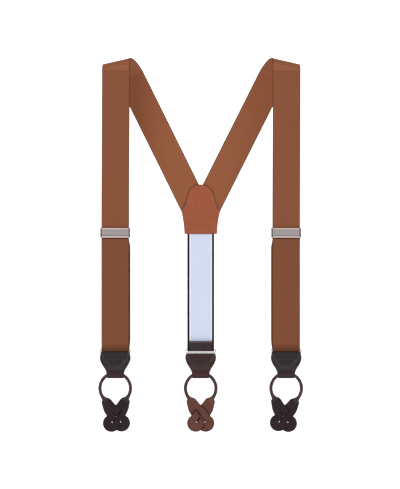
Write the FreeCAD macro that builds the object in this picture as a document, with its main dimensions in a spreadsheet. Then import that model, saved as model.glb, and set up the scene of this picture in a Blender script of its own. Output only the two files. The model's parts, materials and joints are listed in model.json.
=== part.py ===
import FreeCAD, Part
import os
import re

import Sketcher
from FreeCAD import Placement, Rotation, Vector

# Button-on suspenders in Y form, hung as they are worn: +Z up, +X to the wearer's left, front
# towards -Y. The origin is midway between the two shoulder loops, at the height where the front
# straps leave the shoulders. All lengths are in millimetres and all angles in degrees.

doc = FreeCAD.newDocument("Suspenders")

# ---------------------------------------------------------------- driving dimensions

SIZES = {
    # webbing
    "strap_width": 35,
    "strap_thickness": 1.3,
    "strap_spacing": 216,
    "strap_front_y": -26,
    "soft_gap": 0.3,
    # shoulder loop: a tight front bend, a long crown and a bend down the back
    "fold_tilt": 13.25,
    "front_bend_radius": 8,
    "crown_radius": 60,
    "crown_sweep": 42,
    "back_bend_radius": 12,
    # leather yoke between the shoulder blades
    "yoke_thickness": 1.6,
    "yoke_top_z": -146.4,
    "yoke_top_width": 25,
    "yoke_shoulder_z": -180.4,
    "yoke_width": 46,
    "yoke_bottom_z": -209.4,
    "yoke_bottom_width": 39.5,
    "yoke_seam_inset": 2.8,
    "yoke_dome_drop": 7,
    "yoke_dome_radius": 15,
    "yoke_flank_radius": 22,
    "yoke_side_radius": 90,
    "strap_end_z": -198,
    "joint_gap": 0.4,
    # centre elastic and its hem
    "elastic_width": 34,
    "elastic_thickness": 1.2,
    "hem_height": 10.5,
    "hem_seam_drop": 2,
    # adjuster slide
    "adjuster_z": -207.9,
    "adjuster_width": 38.4,
    "adjuster_height": 12.3,
    "plate_thickness": 0.8,
    "ear_thickness": 0.9,
    "lip_radius": 1.3,
    "pivot_radius": 0.6,
    "tail_bar_radius": 0.8,
    "pin_clearance": 0.05,
    "side_clearance": 0.3,
    "tail_length": 12,
    "tail_seam_drop": 6.6,
    "tail_seam_pitch": 3,
    "ear_set_back": 0.2,
    # ring that joins a strap to its leather end
    "bar_z": -355.4,
    "ring_wire": 2,
    "ring_opening": 36,
    "ring_bend_radius": 11,
    "ring_depth": 23.5,
    "lower_bar_drop": 3.9,
    # leather end, two layers
    "leather_thickness": 1.7,
    "leather_clearance": 0.1,
    "leather_height": 31.6,
    "leather_width": 39,
    "leather_top_inset": 1.4,
    "cheek_drop": 10.5,
    "cheek_foot_drop": 18.6,
    "cheek_foot_inset": 2.7,
    "cheek_radius": 12,
    "hollow_drop": 24.3,
    "hollow_flare": 1.4,
    "hollow_radius": 9,
    "neck_drop": 29.5,
    "neck_side_radius": 60,
    "neck_width": 22.8,
    "neck_bottom_width": 20.4,
    "neck_wall": 1.4,
    # rolled leather cord
    "cord_radius": 2,
    "cord_core_radius": 0.95,
    "cord_bore_radius": 1,
    "loop_radius": 19.3,
    "loop_drop": 49,
    "loop_end_angle": 43.7,
    "left_loop_lean": -2,
    "right_loop_lean": 4.5,
    # button tabs
    "tab_thickness": 1.6,
    "tab_top_width": 15,
    "tab_neck_width": 12,
    "lobe_radius": 10.6,
    "lobe_offset": 7,
    "lobe_drop": 44.4,
    "button_hole_radius": 1.2,
    "button_hole_rise": 1.8,
    "buttonhole_slit": 0.8,
    "buttonhole_length": 16.4,
    "pass_angle": 65,
    # thread
    "thread_width": 0.6,
    "thread_height": 0.35,
    "stitch_half_width": 9.6,
    "stitch_drop": 12.5,
    "stitch_radius": 9.8,
}

sheet = doc.addObject("Spreadsheet::Sheet", "Sizes")
for row, (alias, value) in enumerate(SIZES.items(), start=1):
    sheet.set(f"A{row}", alias)
    sheet.set(f"B{row}", str(value))
    sheet.setAlias(f"B{row}", alias)
doc.recompute()

NAME = re.compile(r"[a-z_]+[a-z]")


def bound(text):
    """An expression on the sheet's cells, from one that uses their plain names."""
    return NAME.sub(lambda m: "Sizes." + m[0] if m[0] in SIZES else m[0], text)


def number(text):
    """The value that an expression has now."""
    value = sheet.evalExpression(bound(text))
    return float(getattr(value, "Value", value))


# ---------------------------------------------------------------- values worked out from them

SIN = "sin(fold_tilt * 1deg)"
COS = "cos(fold_tilt * 1deg)"
TAN = "tan(fold_tilt * 1deg)"
SIN_TWO = "sin(2 * fold_tilt * 1deg)"
COS_TWO = "cos(2 * fold_tilt * 1deg)"
SWEEP_SIN = "sin(crown_sweep * 1deg)"
SWEEP_COS = "cos(crown_sweep * 1deg)"

# The strap keeps its width and its straight edges as it bends over the shoulder, so it drifts
# along the fold line as it goes round. A cut along the fold line is wider than the strap.
FOLD_HALF = f"(strap_width / 2 / {COS})"
DRIFT_FRONT = f"(front_bend_radius * pi / 2 * {TAN})"
DRIFT_CROWN = f"(crown_radius * crown_sweep * pi / 180 * {TAN})"
DRIFT_BACK = f"(back_bend_radius * (90 - crown_sweep) * pi / 180 * {TAN})"
DRIFT = f"({DRIFT_FRONT} + {DRIFT_CROWN} + {DRIFT_BACK})"
CROWN_Y = "(strap_front_y + front_bend_radius)"
CROWN_Z = "(front_bend_radius - crown_radius)"
BACK_Y = f"({CROWN_Y} + (crown_radius - back_bend_radius) * {SWEEP_SIN})"
BACK_Z = f"({CROWN_Z} + (crown_radius - back_bend_radius) * {SWEEP_COS})"
STRAP_BACK_Y = f"({BACK_Y} + back_bend_radius)"

# Where the back strap's centre line starts, seen from the front, measured from the middle of
# the front strap at the fold.
START_X = f"({DRIFT} * {COS} - {BACK_Z} * {SIN})"
START_Z = f"({DRIFT} * {SIN} + {BACK_Z} * {COS})"

WIRE_RADIUS = "ring_wire / 2"
RING_HALF = "(ring_opening / 2 + ring_wire / 2)"
RING_GAP = f"({RING_HALF} - ring_bend_radius)"
LEATHER_TOP = f"-(lower_bar_drop + {WIRE_RADIUS} + leather_clearance)"
RING_RISE = "(ring_depth - ring_bend_radius)"
RING_SWING = f"(({RING_RISE}^2 + {RING_GAP}^2) / (2 * {RING_GAP}))"
SIDE_RADIUS = f"({RING_SWING} + ring_bend_radius)"
FOLD_INNER = "(ring_wire / 2 + soft_gap)"
STRAP_FOLD = f"({FOLD_INNER} + strap_thickness / 2)"
HEM_FOLD = f"({FOLD_INNER} + elastic_thickness / 2)"
FRONT_BAR_Y = f"(strap_front_y + {STRAP_FOLD})"
BACK_BAR_Y = f"({STRAP_BACK_Y} - {HEM_FOLD})"
SEAM_Y = "(adjuster_height / 2 + side_clearance)"

# ---------------------------------------------------------------- drawing helpers

LEFT = 1
RIGHT = -1


def plane(body, role):
    return next(o for o in body.Origin.OriginFeatures if o.Role == role)


def new_body(label):
    body = doc.addObject("PartDesign::Body", label)
    body.Label = label
    return body


def place(body, x, y, z, turn=None):
    """Puts a body at a bound place, turned by a bound angle about an axis."""
    if turn:
        axis, angle = turn
        body.Placement = Placement(Vector(), Rotation(axis, number(angle)))
        body.setExpression(".Placement.Rotation.Angle", bound(angle))
    for letter, text in zip("xyz", (x, y, z)):
        body.setExpression(f".Placement.Base.{letter}", bound(text))


def new_sketch(body, role="XZ_Plane", shift=("0", "0", "0"), turn=None):
    """A sketch on one of the body's planes, moved and turned in that plane's own axes."""
    sketch = body.newObject("Sketcher::SketchObject", body.Label + "_sketch")
    sketch.AttachmentSupport = [(plane(body, role), "")]
    sketch.MapMode = "FlatFace"
    if turn:
        axis, angle = turn
        sketch.AttachmentOffset = Placement(Vector(), Rotation(axis, number(angle)))
        sketch.setExpression(".AttachmentOffset.Rotation.Angle", bound(angle))
    for letter, text in zip("xyz", shift):
        sketch.setExpression(f".AttachmentOffset.Base.{letter}", bound(text))
    return sketch


def pin_point(sketch, geometry, end, x, y):
    """Holds a point of the sketch at bound distances from its origin."""
    for kind, text in (("DistanceX", x), ("DistanceY", y)):
        rule = sketch.addConstraint(Sketcher.Constraint(kind, -1, 1, geometry, end, number(text)))
        sketch.setExpression(f"Constraints[{rule}]", bound(text))


def arc_between(start, end, radius, major):
    """An arc from start to end that turns left for a positive radius and right for a negative
    one."""
    half = (end - start) / 2
    left = Vector(-half.y, half.x, 0).normalize() * (1 if radius > 0 else -1)
    size = abs(radius)
    rise = max(size**2 - half.Length**2, 0) ** 0.5
    centre = start + half + left * (-rise if major else rise)
    return Part.Arc(start, centre - left * size, end)


def outline(sketch, corners, closed=True):
    """Draws a chain of lines and arcs. A corner is x, y and, where the edge that leaves it is
    an arc, its radius, positive where the arc turns left, or LEFT or RIGHT for a half circle.
    A fourth item marks a major arc."""
    first = sketch.GeometryCount
    places = [Vector(number(c[0]), number(c[1]), 0) for c in corners]
    count = len(corners) if closed else len(corners) - 1
    ends = []
    for i in range(count):
        corner = corners[i]
        start = places[i]
        end = places[(i + 1) % len(corners)]
        # the sketcher keeps every arc counter-clockwise, so a right turn starts at its end
        ends.append((1, 2))
        if len(corner) == 2:
            sketch.addGeometry(Part.LineSegment(start, end))
            continue
        turn = corner[2]
        radius = turn * (end - start).Length / 2 if turn in (LEFT, RIGHT) else number(turn)
        sketch.addGeometry(arc_between(start, end, radius, len(corner) > 3))
        if radius < 0:
            ends[i] = (2, 1)
    for i in range(count):
        here = first + i
        start_end, finish_end = ends[i]
        pin_point(sketch, here, start_end, corners[i][0], corners[i][1])
        if closed or i < count - 1:
            after = (i + 1) % count
            meet = Sketcher.Constraint("Coincident", here, finish_end, first + after, ends[after][0])
            sketch.addConstraint(meet)
        else:
            pin_point(sketch, here, finish_end, corners[-1][0], corners[-1][1])
        if len(corners[i]) == 2:
            continue
        turn = corners[i][2]
        if turn in (LEFT, RIGHT):
            sketch.addConstraint(Sketcher.Constraint("Symmetric", here, 1, here, 2, here, 3))
            continue
        rule = sketch.addConstraint(Sketcher.Constraint("Radius", here, abs(number(turn))))
        sketch.setExpression(f"Constraints[{rule}]", bound(f"abs({turn})"))


def rectangle(sketch, x_low, x_high, y_low, y_high):
    corners = [(x_low, y_low), (x_high, y_low), (x_high, y_high), (x_low, y_high)]
    outline(sketch, corners)


def circle(sketch, x, y, radius):
    middle = Vector(number(x), number(y), 0)
    here = sketch.GeometryCount
    sketch.addGeometry(Part.Circle(middle, Vector(0, 0, 1), number(radius)))
    pin_point(sketch, here, 3, x, y)
    rule = sketch.addConstraint(Sketcher.Constraint("Radius", here, number(radius)))
    sketch.setExpression(f"Constraints[{rule}]", bound(radius))


def feature(body, kind, profile, **settings):
    """Adds a feature to the body. Settings that are text are bound to the sheet."""
    made = body.newObject("PartDesign::" + kind, f"{body.Label}_{kind}")
    made.Profile = profile
    for name, value in settings.items():
        if isinstance(value, str):
            made.setExpression(name, bound(value))
        else:
            setattr(made, name, value)
    profile.Visibility = False
    return made


def pad(body, profile, length, middle=True):
    return feature(body, "Pad", profile, Length=length, Midplane=middle)


def cut_through(body, profile):
    return feature(body, "Pocket", profile, Type=1, Midplane=True)


def turn_about(body, kind, profile, angle):
    return feature(
        body, kind, profile, ReferenceAxis=(profile, ["H_Axis"]), Angle=angle, Midplane=True
    )


def pipe(body, kind, profile, path):
    made = feature(body, kind, profile)
    made.Spine = (path, [f"Edge{i + 1}" for i in range(path.GeometryCount)])
    path.Visibility = False
    return made


# ---------------------------------------------------------------- shoulder straps


def shoulder_strap(label, side):
    """One strap from the adjuster, over the shoulder and down the back into the yoke. The
    body's own X axis is the fold line, which climbs towards the neck."""
    inward = -side
    body = new_body(label)

    def bend(radius, axis_y, axis_z, start_turn, drift, sweep):
        """A stretch of strap that bends round the fold line through a part of a turn."""
        sketch = new_sketch(
            body,
            shift=(f"{inward} * {drift}", axis_z, f"-{axis_y}"),
            turn=(Vector(1, 0, 0), start_turn),
        )
        rectangle(
            sketch,
            f"-{FOLD_HALF}",
            FOLD_HALF,
            f"{radius} - strap_thickness / 2",
            f"{radius} + strap_thickness / 2",
        )
        feature(
            body,
            "AdditiveHelix",
            sketch,
            ReferenceAxis=(sketch, ["H_Axis"]),
            Mode=1,
            Pitch=f"2 * pi * {radius} * {TAN}",
            Turns=f"({sweep}) / 360",
            Angle=0,
            LeftHanded=side < 0,
            Reversed=side > 0,
        )

    def level(corners):
        """A flat stretch, drawn with X across the wearer and Y straight up."""
        sketch = new_sketch(body, turn=(Vector(0, 0, 1), f"{inward} * -fold_tilt"), shift=corners[0])
        outline(sketch, [(f"{inward} * ({x})", z) for x, z in corners[1:]])
        pad(body, sketch, "strap_thickness")

    bend("front_bend_radius", CROWN_Y, "0", "90", "0", "90")
    bend("crown_radius", CROWN_Y, CROWN_Z, "0", DRIFT_FRONT, "crown_sweep")
    bend(
        "back_bend_radius",
        BACK_Y,
        BACK_Z,
        "-crown_sweep",
        f"({DRIFT_FRONT} + {DRIFT_CROWN})",
        "90 - crown_sweep",
    )

    half = "strap_width / 2"
    bottom = f"adjuster_z - {SEAM_Y}"
    level(
        [
            ("0", "0", "-strap_front_y"),
            (f"-{half}", f"-{half} * {TAN}"),
            (half, f"{half} * {TAN}"),
            (half, bottom),
            (f"-{half}", bottom),
        ]
    )

    # the back stretch ends inside the yoke, cut square below and along the middle of the back
    middle_x = "strap_spacing / 2 - joint_gap / 2"
    upper_x = f"({START_X} + {FOLD_HALF} * {COS})"
    upper_z = f"({START_Z} + {FOLD_HALF} * {SIN})"
    lower_x = f"({START_X} - {FOLD_HALF} * {COS})"
    lower_z = f"({START_Z} - {FOLD_HALF} * {SIN})"
    slope = f"({COS_TWO} / {SIN_TWO})"
    level(
        [
            ("0", "0", f"-{STRAP_BACK_Y}"),
            (lower_x, lower_z),
            (upper_x, upper_z),
            (middle_x, f"{upper_z} - ({middle_x} - {upper_x}) * {slope}"),
            (middle_x, "strap_end_z"),
            (f"{lower_x} + ({lower_z} - strap_end_z) / {slope}", "strap_end_z"),
        ]
    )
    place(body, f"{side} * strap_spacing / 2", "0", "0", (Vector(0, 1, 0), f"{side} * fold_tilt"))
    return body


# ---------------------------------------------------------------- adjuster slides

ADJUSTER_HALF = "(adjuster_width / 2)"
EAR_INNER = f"({ADJUSTER_HALF} - ear_thickness)"
PLATE_Y = "(strap_thickness / 2 + soft_gap)"
PIVOT_Y = f"(-{PLATE_Y} - lip_radius)"
PIVOT_Z = "(adjuster_height / 2 - lip_radius)"
TAIL_FOLD = "(tail_bar_radius + pin_clearance + strap_thickness / 2)"
RETURN_Y = f"(2 * {STRAP_FOLD})"
TAIL_Y = f"({RETURN_Y} + {TAIL_FOLD})"
ARM_HALF = "(2 * tail_bar_radius)"
ARM_ROOT = "(2.5 * tail_bar_radius)"


def at_adjuster(body, side):
    place(body, f"{side} * strap_spacing / 2", "strap_front_y", "adjuster_z")


def adjuster_frame(label, side):
    """Stamped back plate with an ear at each end that carries the pivot and the tail bar."""
    body = new_body(label)
    sketch = new_sketch(body, shift=("0", "0", f"-{PLATE_Y} - plate_thickness / 2"))
    rectangle(
        sketch,
        f"-{EAR_INNER}",
        EAR_INNER,
        "-adjuster_height / 2",
        "adjuster_height / 2",
    )
    pad(body, sketch, "plate_thickness")
    back = f"{PLATE_Y} + plate_thickness"
    front = f"{PIVOT_Y} - lip_radius + ear_set_back"
    arm = f"{TAIL_Y} + {ARM_HALF}"
    for sign in (-1, 1):
        sketch = new_sketch(
            body, "YZ_Plane", ("0", "0", f"{sign} * ({EAR_INNER} + ear_thickness / 2)")
        )
        outline(
            sketch,
            [
                (front, "adjuster_height / 2"),
                (front, f"{PIVOT_Z} - lip_radius"),
                (PLATE_Y, "-adjuster_height / 2"),
                (back, "-adjuster_height / 2"),
                (back, f"-{ARM_ROOT}"),
                (arm, f"-{ARM_HALF}"),
                (arm, ARM_HALF),
                (back, ARM_ROOT),
                (back, "adjuster_height / 2"),
            ],
        )
        pad(body, sketch, "ear_thickness")
    sketch = new_sketch(body, "YZ_Plane")
    circle(sketch, PIVOT_Y, PIVOT_Z, "pivot_radius")
    circle(sketch, TAIL_Y, "0", "tail_bar_radius")
    cut_through(body, sketch)
    at_adjuster(body, side)


def adjuster_lever(label, side):
    """Front plate with a rolled lip along its top and bottom edges. The top lip turns on the
    pivot rod and the bottom lip bites the webbing."""
    body = new_body(label)
    length = f"2 * ({EAR_INNER} - side_clearance)"
    sketch = new_sketch(body, "YZ_Plane")
    face = f"-{PLATE_Y} - plate_thickness"
    rectangle(sketch, face, f"-{PLATE_Y}", f"-{PIVOT_Z}", PIVOT_Z)
    pad(body, sketch, length)
    for z in (PIVOT_Z, f"-{PIVOT_Z}"):
        sketch = new_sketch(body, "YZ_Plane")
        circle(sketch, PIVOT_Y, z, "lip_radius")
        pad(body, sketch, length)
    sketch = new_sketch(body, "YZ_Plane")
    circle(sketch, PIVOT_Y, PIVOT_Z, "pivot_radius + pin_clearance")
    cut_through(body, sketch)
    at_adjuster(body, side)


def rod(label, side, y, z, radius):
    """A straight rod from ear to ear."""
    body = new_body(label)
    sketch = new_sketch(body, "YZ_Plane")
    circle(sketch, y, z, radius)
    pad(body, sketch, "adjuster_width")
    at_adjuster(body, side)


def strap_tail(label, side):
    """The strap's own end: round the tail bar and back down, where it is sewn to itself."""
    body = new_body(label)
    inner = f"{TAIL_FOLD} - strap_thickness / 2"
    outer = f"{TAIL_FOLD} + strap_thickness / 2"
    bottom = f"-{SEAM_Y}"
    stub = "-tail_length"
    sketch = new_sketch(body, "YZ_Plane", (TAIL_Y, "0", "0"))
    outline(
        sketch,
        [
            (f"-({outer})", bottom),
            (f"-({inner})", bottom),
            (f"-({inner})", "0", RIGHT),
            (inner, "0"),
            (inner, stub),
            (outer, stub),
            (outer, "0", LEFT),
            (f"-({outer})", "0"),
        ],
    )
    pad(body, sketch, "strap_width")
    at_adjuster(body, side)


def tail_seam(label, side):
    """Two rows of thread across the back of the strap's folded end."""
    body = new_body(label)
    face = f"{TAIL_Y} + {TAIL_FOLD} + strap_thickness / 2 + thread_height / 2"
    sketch = new_sketch(body, shift=("0", "0", f"-({face})"))
    half = "strap_width / 2 - 2 * thread_width"
    for row in (0, 1):
        middle = f"-tail_seam_drop - {row} * tail_seam_pitch"
        rectangle(
            sketch,
            f"-({half})",
            half,
            f"{middle} - thread_width / 2",
            f"{middle} + thread_width / 2",
        )
    pad(body, sketch, "thread_height")
    at_adjuster(body, side)


def strap_layer(label, side, y, top, bottom):
    """A flat stretch of webbing below the adjuster, which lengthens as the adjuster moves."""
    body = new_body(label)
    sketch = new_sketch(body)
    rectangle(sketch, "-strap_width / 2", "strap_width / 2", bottom, top)
    pad(body, sketch, "strap_thickness")
    place(body, f"{side} * strap_spacing / 2", y, "0")


def strap_fold(label, side):
    """The webbing's turn round the ring's bar."""
    body = new_body(label)
    sketch = new_sketch(body, "YZ_Plane")
    inner = FOLD_INNER
    outer = f"({FOLD_INNER} + strap_thickness)"
    outline(
        sketch,
        [
            (f"-{outer}", "0", LEFT),
            (outer, "0"),
            (inner, "0", RIGHT),
            (f"-{inner}", "0"),
        ],
    )
    pad(body, sketch, "strap_width")
    place(body, f"{side} * strap_spacing / 2", FRONT_BAR_Y, "bar_z")


# ---------------------------------------------------------------- yoke and centre elastic


# how far a row of thread moves in along the dome's slanted shoulder, as a share of its inset
YOKE_LEAN = 0.8


def yoke_corners(inset="0"):
    """The yoke's outline, round at the top, fullest at its shoulders and narrow at its foot,
    from the bottom right corner round to the bottom left."""
    half_foot = f"(yoke_bottom_width / 2 - {inset})"
    half_wide = f"(yoke_width / 2 - {inset})"
    half_top = f"(yoke_top_width / 2 - {inset} * {YOKE_LEAN})"
    foot = f"(yoke_bottom_z + {inset})"
    dome = "(yoke_top_z - yoke_dome_drop)"
    return [
        (f"-{half_foot}", foot),
        (half_foot, foot, "-yoke_side_radius"),
        (half_wide, "yoke_shoulder_z", f"yoke_flank_radius - {inset}"),
        (half_top, dome, f"yoke_dome_radius - {inset}"),
        (f"-{half_top}", dome, f"yoke_flank_radius - {inset}"),
        (f"-{half_wide}", "yoke_shoulder_z", "-yoke_side_radius"),
    ]


def yoke_patch(label, side):
    """One of the two leather patches that hold the straps and the elastic between them."""
    body = new_body(label)
    middle = f"({STRAP_BACK_Y} + {side} * (strap_thickness + yoke_thickness) / 2)"
    sketch = new_sketch(body, shift=("0", "0", f"-{middle}"))
    outline(sketch, yoke_corners())
    pad(body, sketch, "yoke_thickness")


def yoke_seam(label):
    """Thread just inside the yoke's edge, on both patches."""
    body = new_body(label)
    for side in (-1, 1):
        height = "(strap_thickness / 2 + yoke_thickness + thread_height / 2)"
        sketch = new_sketch(body, shift=("0", "0", f"-({STRAP_BACK_Y} + {side} * {height})"))
        outline(sketch, yoke_corners("(yoke_seam_inset - thread_width / 2)"))
        outline(sketch, yoke_corners("(yoke_seam_inset + thread_width / 2)"))
        pad(body, sketch, "thread_height")


def back_elastic(label):
    """The elastic from inside the yoke down to the level of the ring's bar."""
    body = new_body(label)
    sketch = new_sketch(body, shift=("0", "0", f"-{STRAP_BACK_Y}"))
    half = "elastic_width / 2"
    rectangle(sketch, f"-{half}", half, "bar_z + soft_gap", "strap_end_z - joint_gap")
    pad(body, sketch, "elastic_thickness")


def elastic_hem(label):
    """The elastic's end, folded forward round the upper bar and sewn up over itself."""
    body = new_body(label)
    sketch = new_sketch(body, "YZ_Plane")
    inner = FOLD_INNER
    outer = f"({FOLD_INNER} + elastic_thickness)"
    outline(
        sketch,
        [
            (f"-{outer}", "0", LEFT),
            (outer, "0"),
            (inner, "0", RIGHT),
            (f"-{inner}", "0"),
            (f"-{inner}", "hem_height"),
            (f"-{outer}", "hem_height"),
        ],
    )
    pad(body, sketch, "elastic_width")
    place(body, "0", BACK_BAR_Y, "bar_z")


def hem_seam(label):
    """Thread across the top of the hem."""
    body = new_body(label)
    face = f"({FOLD_INNER} + elastic_thickness + thread_height / 2)"
    sketch = new_sketch(body, shift=("0", "0", face))
    half = "elastic_width / 2 - 2 * thread_width"
    seam = "hem_height - hem_seam_drop"
    rectangle(sketch, f"-({half})", half, seam, f"{seam} + thread_width")
    pad(body, sketch, "thread_height")
    place(body, "0", BACK_BAR_Y, "bar_z")


# ---------------------------------------------------------------- leather ends

LOOP_SIN = "sin(loop_end_angle * 1deg)"
LOOP_COS = "cos(loop_end_angle * 1deg)"
TAB_RUN_X = f"(loop_radius * {LOOP_SIN} + lobe_offset)"
TAB_RUN_Z = f"(lobe_drop - loop_radius * {LOOP_COS})"
TAB_RUN = f"sqrt({TAB_RUN_X} * {TAB_RUN_X} + {TAB_RUN_Z} * {TAB_RUN_Z})"
TAB_SIN = f"({TAB_RUN_X} / {TAB_RUN})"
TAB_COS = f"({TAB_RUN_Z} / {TAB_RUN})"
TAB_ANGLE = f"atan2({TAB_RUN_X}; {TAB_RUN_Z})"
TAB_STEP = "(tab_thickness + soft_gap)"
CROSSING = f"(lobe_offset / {TAB_SIN})"


class End:
    """One leather end: the place of its ring's bar, how it is turned there, and how its cord
    loop is turned where it hangs."""

    def __init__(self, name, x, y, turn, loop_turn, two_bars):
        self.name = name
        self.x = x
        self.y = y
        self.turn = turn
        self.loop_turn = loop_turn
        self.two_bars = two_bars

    def settle(self, body):
        """Puts a piece that was drawn about the ring's bar."""
        place(body, self.x, self.y, "bar_z", self.turn)

    def hang(self, body):
        """Puts a piece that was drawn about the middle of the cord loop."""
        place(body, self.x, self.y, "bar_z - loop_drop", self.loop_turn)


def ring_arms(body, kind, clearance="0"):
    """Wire from one end of the bar, down one side, round the foot and up the other side. Its
    three arcs run smoothly into each other."""
    start_z = f"({WIRE_RADIUS} / 2)"
    start_x = f"({RING_HALF} - {SIDE_RADIUS} + sqrt({SIDE_RADIUS}^2 - {start_z}^2))"
    foot_x = f"(ring_bend_radius * ({RING_SWING} - {RING_GAP}) / {RING_SWING})"
    foot_z = f"({RING_RISE} * (1 + ring_bend_radius / {RING_SWING}))"
    path = new_sketch(body)
    corners = [
        (f"-{start_x}", f"-{start_z}", SIDE_RADIUS),
        (f"-{foot_x}", f"-{foot_z}", "ring_bend_radius"),
        (foot_x, f"-{foot_z}", SIDE_RADIUS),
        (start_x, f"-{start_z}"),
    ]
    outline(path, corners, closed=False)
    doc.recompute()
    profile = new_sketch(body, "XY_Plane", ("0", "0", f"-{start_z}"))
    circle(profile, f"-{start_x}", "0", f"{WIRE_RADIUS} + {clearance}")
    pipe(body, kind, profile, path)


def ring(end):
    """Wire ring: a straight bar in the strap's fold and a round foot inside the leather. The
    back one has a second bar below the first, which stays in view."""
    body = new_body(f"{end.name}_ring")
    bars = [("0", f"2 * ({RING_HALF} + {WIRE_RADIUS})")]
    if end.two_bars:
        lower = f"2 * ({RING_HALF} - {SIDE_RADIUS} + sqrt({SIDE_RADIUS}^2 - lower_bar_drop^2))"
        bars.append(("-lower_bar_drop", lower))
    for z, length in bars:
        sketch = new_sketch(body, "YZ_Plane")
        circle(sketch, "0", z, WIRE_RADIUS)
        pad(body, sketch, length)
    ring_arms(body, "AdditivePipe")
    end.settle(body)


def leather_corners():
    """The leather end's outline: broad under the strap, drawn in to a neck for the cord."""
    top = LEATHER_TOP
    bottom = f"{LEATHER_TOP} - leather_height"
    half = "leather_width / 2"
    right = [
        ("neck_bottom_width / 2", bottom),
        ("neck_width / 2", "-neck_drop", "-hollow_radius"),
        ("neck_width / 2 + hollow_flare", "-hollow_drop"),
        (f"{half} - cheek_foot_inset", "-cheek_foot_drop", "cheek_radius"),
        (half, "-cheek_drop"),
        (f"{half} - leather_top_inset", top),
    ]
    left = [
        (f"-{half} + leather_top_inset", top),
        (f"-{half}", "-cheek_drop", "cheek_radius"),
        (f"-{half} + cheek_foot_inset", "-cheek_foot_drop"),
        ("-neck_width / 2 - hollow_flare", "-hollow_drop", "-hollow_radius"),
        ("-neck_width / 2", "-neck_drop"),
        ("-neck_bottom_width / 2", bottom, "neck_side_radius"),
    ]
    return right + left


def leather_layer(end, label, side):
    """One layer of the leather end, hollowed for half of the ring's wire and half of the cord."""
    body = new_body(f"{end.name}_{label}")
    sketch = new_sketch(body, shift=("0", "0", f"{-side} * leather_thickness / 2"))
    outline(sketch, leather_corners())
    pad(body, sketch, "leather_thickness")
    shell = "(cord_radius + soft_gap + neck_wall)"
    swell = new_sketch(body, "YZ_Plane", ("0", "-loop_drop", "0"))
    outline(
        swell,
        [
            ("0", f"loop_radius - {side} * {shell}", LEFT),
            ("0", f"loop_radius + {side} * {shell}"),
        ],
    )
    reach = "(neck_bottom_width / 2 - 2 * soft_gap)"
    turn_about(body, "Revolution", swell, f"2 * asin({reach} / loop_radius)")
    bore = new_sketch(body, "YZ_Plane", ("0", "-loop_drop", "0"))
    circle(bore, "0", "loop_radius", "cord_radius + soft_gap")
    turn_about(body, "Groove", bore, "180")
    ring_arms(body, "SubtractivePipe", "pin_clearance")
    end.settle(body)


def end_seam(end):
    """Thread in a half round inside the ring, on both faces of the leather."""
    body = new_body(f"{end.name}_stitching")
    rise = "sqrt(stitch_radius * stitch_radius - stitch_half_width * stitch_half_width)"
    inner = "(stitch_radius - thread_width)"
    inner_rise = f"({rise} + thread_width)"
    inner_half = f"sqrt({inner} * {inner} - {inner_rise} * {inner_rise})"
    for side in (-1, 1):
        height = "(leather_thickness + thread_height / 2)"
        sketch = new_sketch(body, shift=("0", "0", f"{side} * {height}"))
        top = "-stitch_drop"
        outline(sketch, [("-stitch_half_width", top, "stitch_radius"), ("stitch_half_width", top)])
        top = "-stitch_drop - thread_width"
        outline(sketch, [(f"-{inner_half}", top, inner), (inner_half, top)])
        pad(body, sketch, "thread_height")
    end.settle(body)


def cord_part(end, label, outer, inner=None):
    """A round of the cord's cover or core, open at the bottom where the tabs begin."""
    body = new_body(f"{end.name}_{label}")
    sketch = new_sketch(body, "YZ_Plane")
    circle(sketch, "0", "loop_radius", outer)
    if inner:
        circle(sketch, "0", "loop_radius", inner)
    turn_about(body, "Revolution", sketch, "360 - 2 * loop_end_angle")
    end.hang(body)


def tab_corners(side):
    """A button tab's outline, from the cord's end down across the middle to a round lobe.
    side is 1 for the tab that starts on the right."""

    def along(distance, across):
        x = f"{side} * (-lobe_offset + {distance} * {TAB_SIN} + {across} * {TAB_COS})"
        z = f"-lobe_drop + {distance} * {TAB_COS} - {across} * {TAB_SIN}"
        return x, z

    def at_cord(reach):
        x = f"{side} * (loop_radius + {reach}) * {LOOP_SIN}"
        z = f"-(loop_radius + {reach}) * {LOOP_COS}"
        return x, z

    half = "(tab_neck_width / 2)"
    rise = f"sqrt(lobe_radius * lobe_radius - {half} * {half})"
    return [
        at_cord("tab_top_width / 2"),
        at_cord("-tab_top_width / 2"),
        along(rise, f"-{half}"),
        along(rise, half),
    ]


def tab_outline(sketch, side):
    corners = tab_corners(side)
    turn = "lobe_radius" if side > 0 else "-lobe_radius"
    corners[2] = (*corners[2], turn, "major")
    outline(sketch, corners)


def tab_slot(body, side, low, high, width):
    """Cuts a slot with round ends along a tab's centre line, between two distances from the
    middle of its lobe."""
    sketch = new_sketch(
        body,
        shift=(f"-{side} * lobe_offset", "-lobe_drop", "0"),
        turn=(Vector(0, 0, 1), f"-{side} * {TAB_ANGLE}"),
    )
    radius = f"({width} / 2)"
    outline(
        sketch,
        [
            (f"-{radius}", low, LEFT),
            (radius, low),
            (radius, high, LEFT),
            (f"-{radius}", high),
        ],
    )
    cut_through(body, sketch)


def button_hole(body, side):
    sketch = new_sketch(
        body,
        shift=(f"-{side} * lobe_offset", "-lobe_drop", "0"),
        turn=(Vector(0, 0, 1), f"-{side} * {TAB_ANGLE}"),
    )
    circle(sketch, "0", "button_hole_rise", "button_hole_radius")
    cut_through(body, sketch)


PASS_TAN = "tan(pass_angle * 1deg)"
PASS_MITRE = "(tab_thickness / 2 * tan(pass_angle / 2 * 1deg))"
PASS_HALF = f"({PASS_MITRE} + tab_thickness / {PASS_TAN} + soft_gap)"
PASS_LENGTH = (
    f"(tab_neck_width / 2 / sin(2 * {TAB_ANGLE}) + {PASS_HALF} / tan(2 * {TAB_ANGLE}) + soft_gap)"
)
SLIT_TOP = "(buttonhole_length - button_hole_radius + button_hole_rise)"

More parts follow.
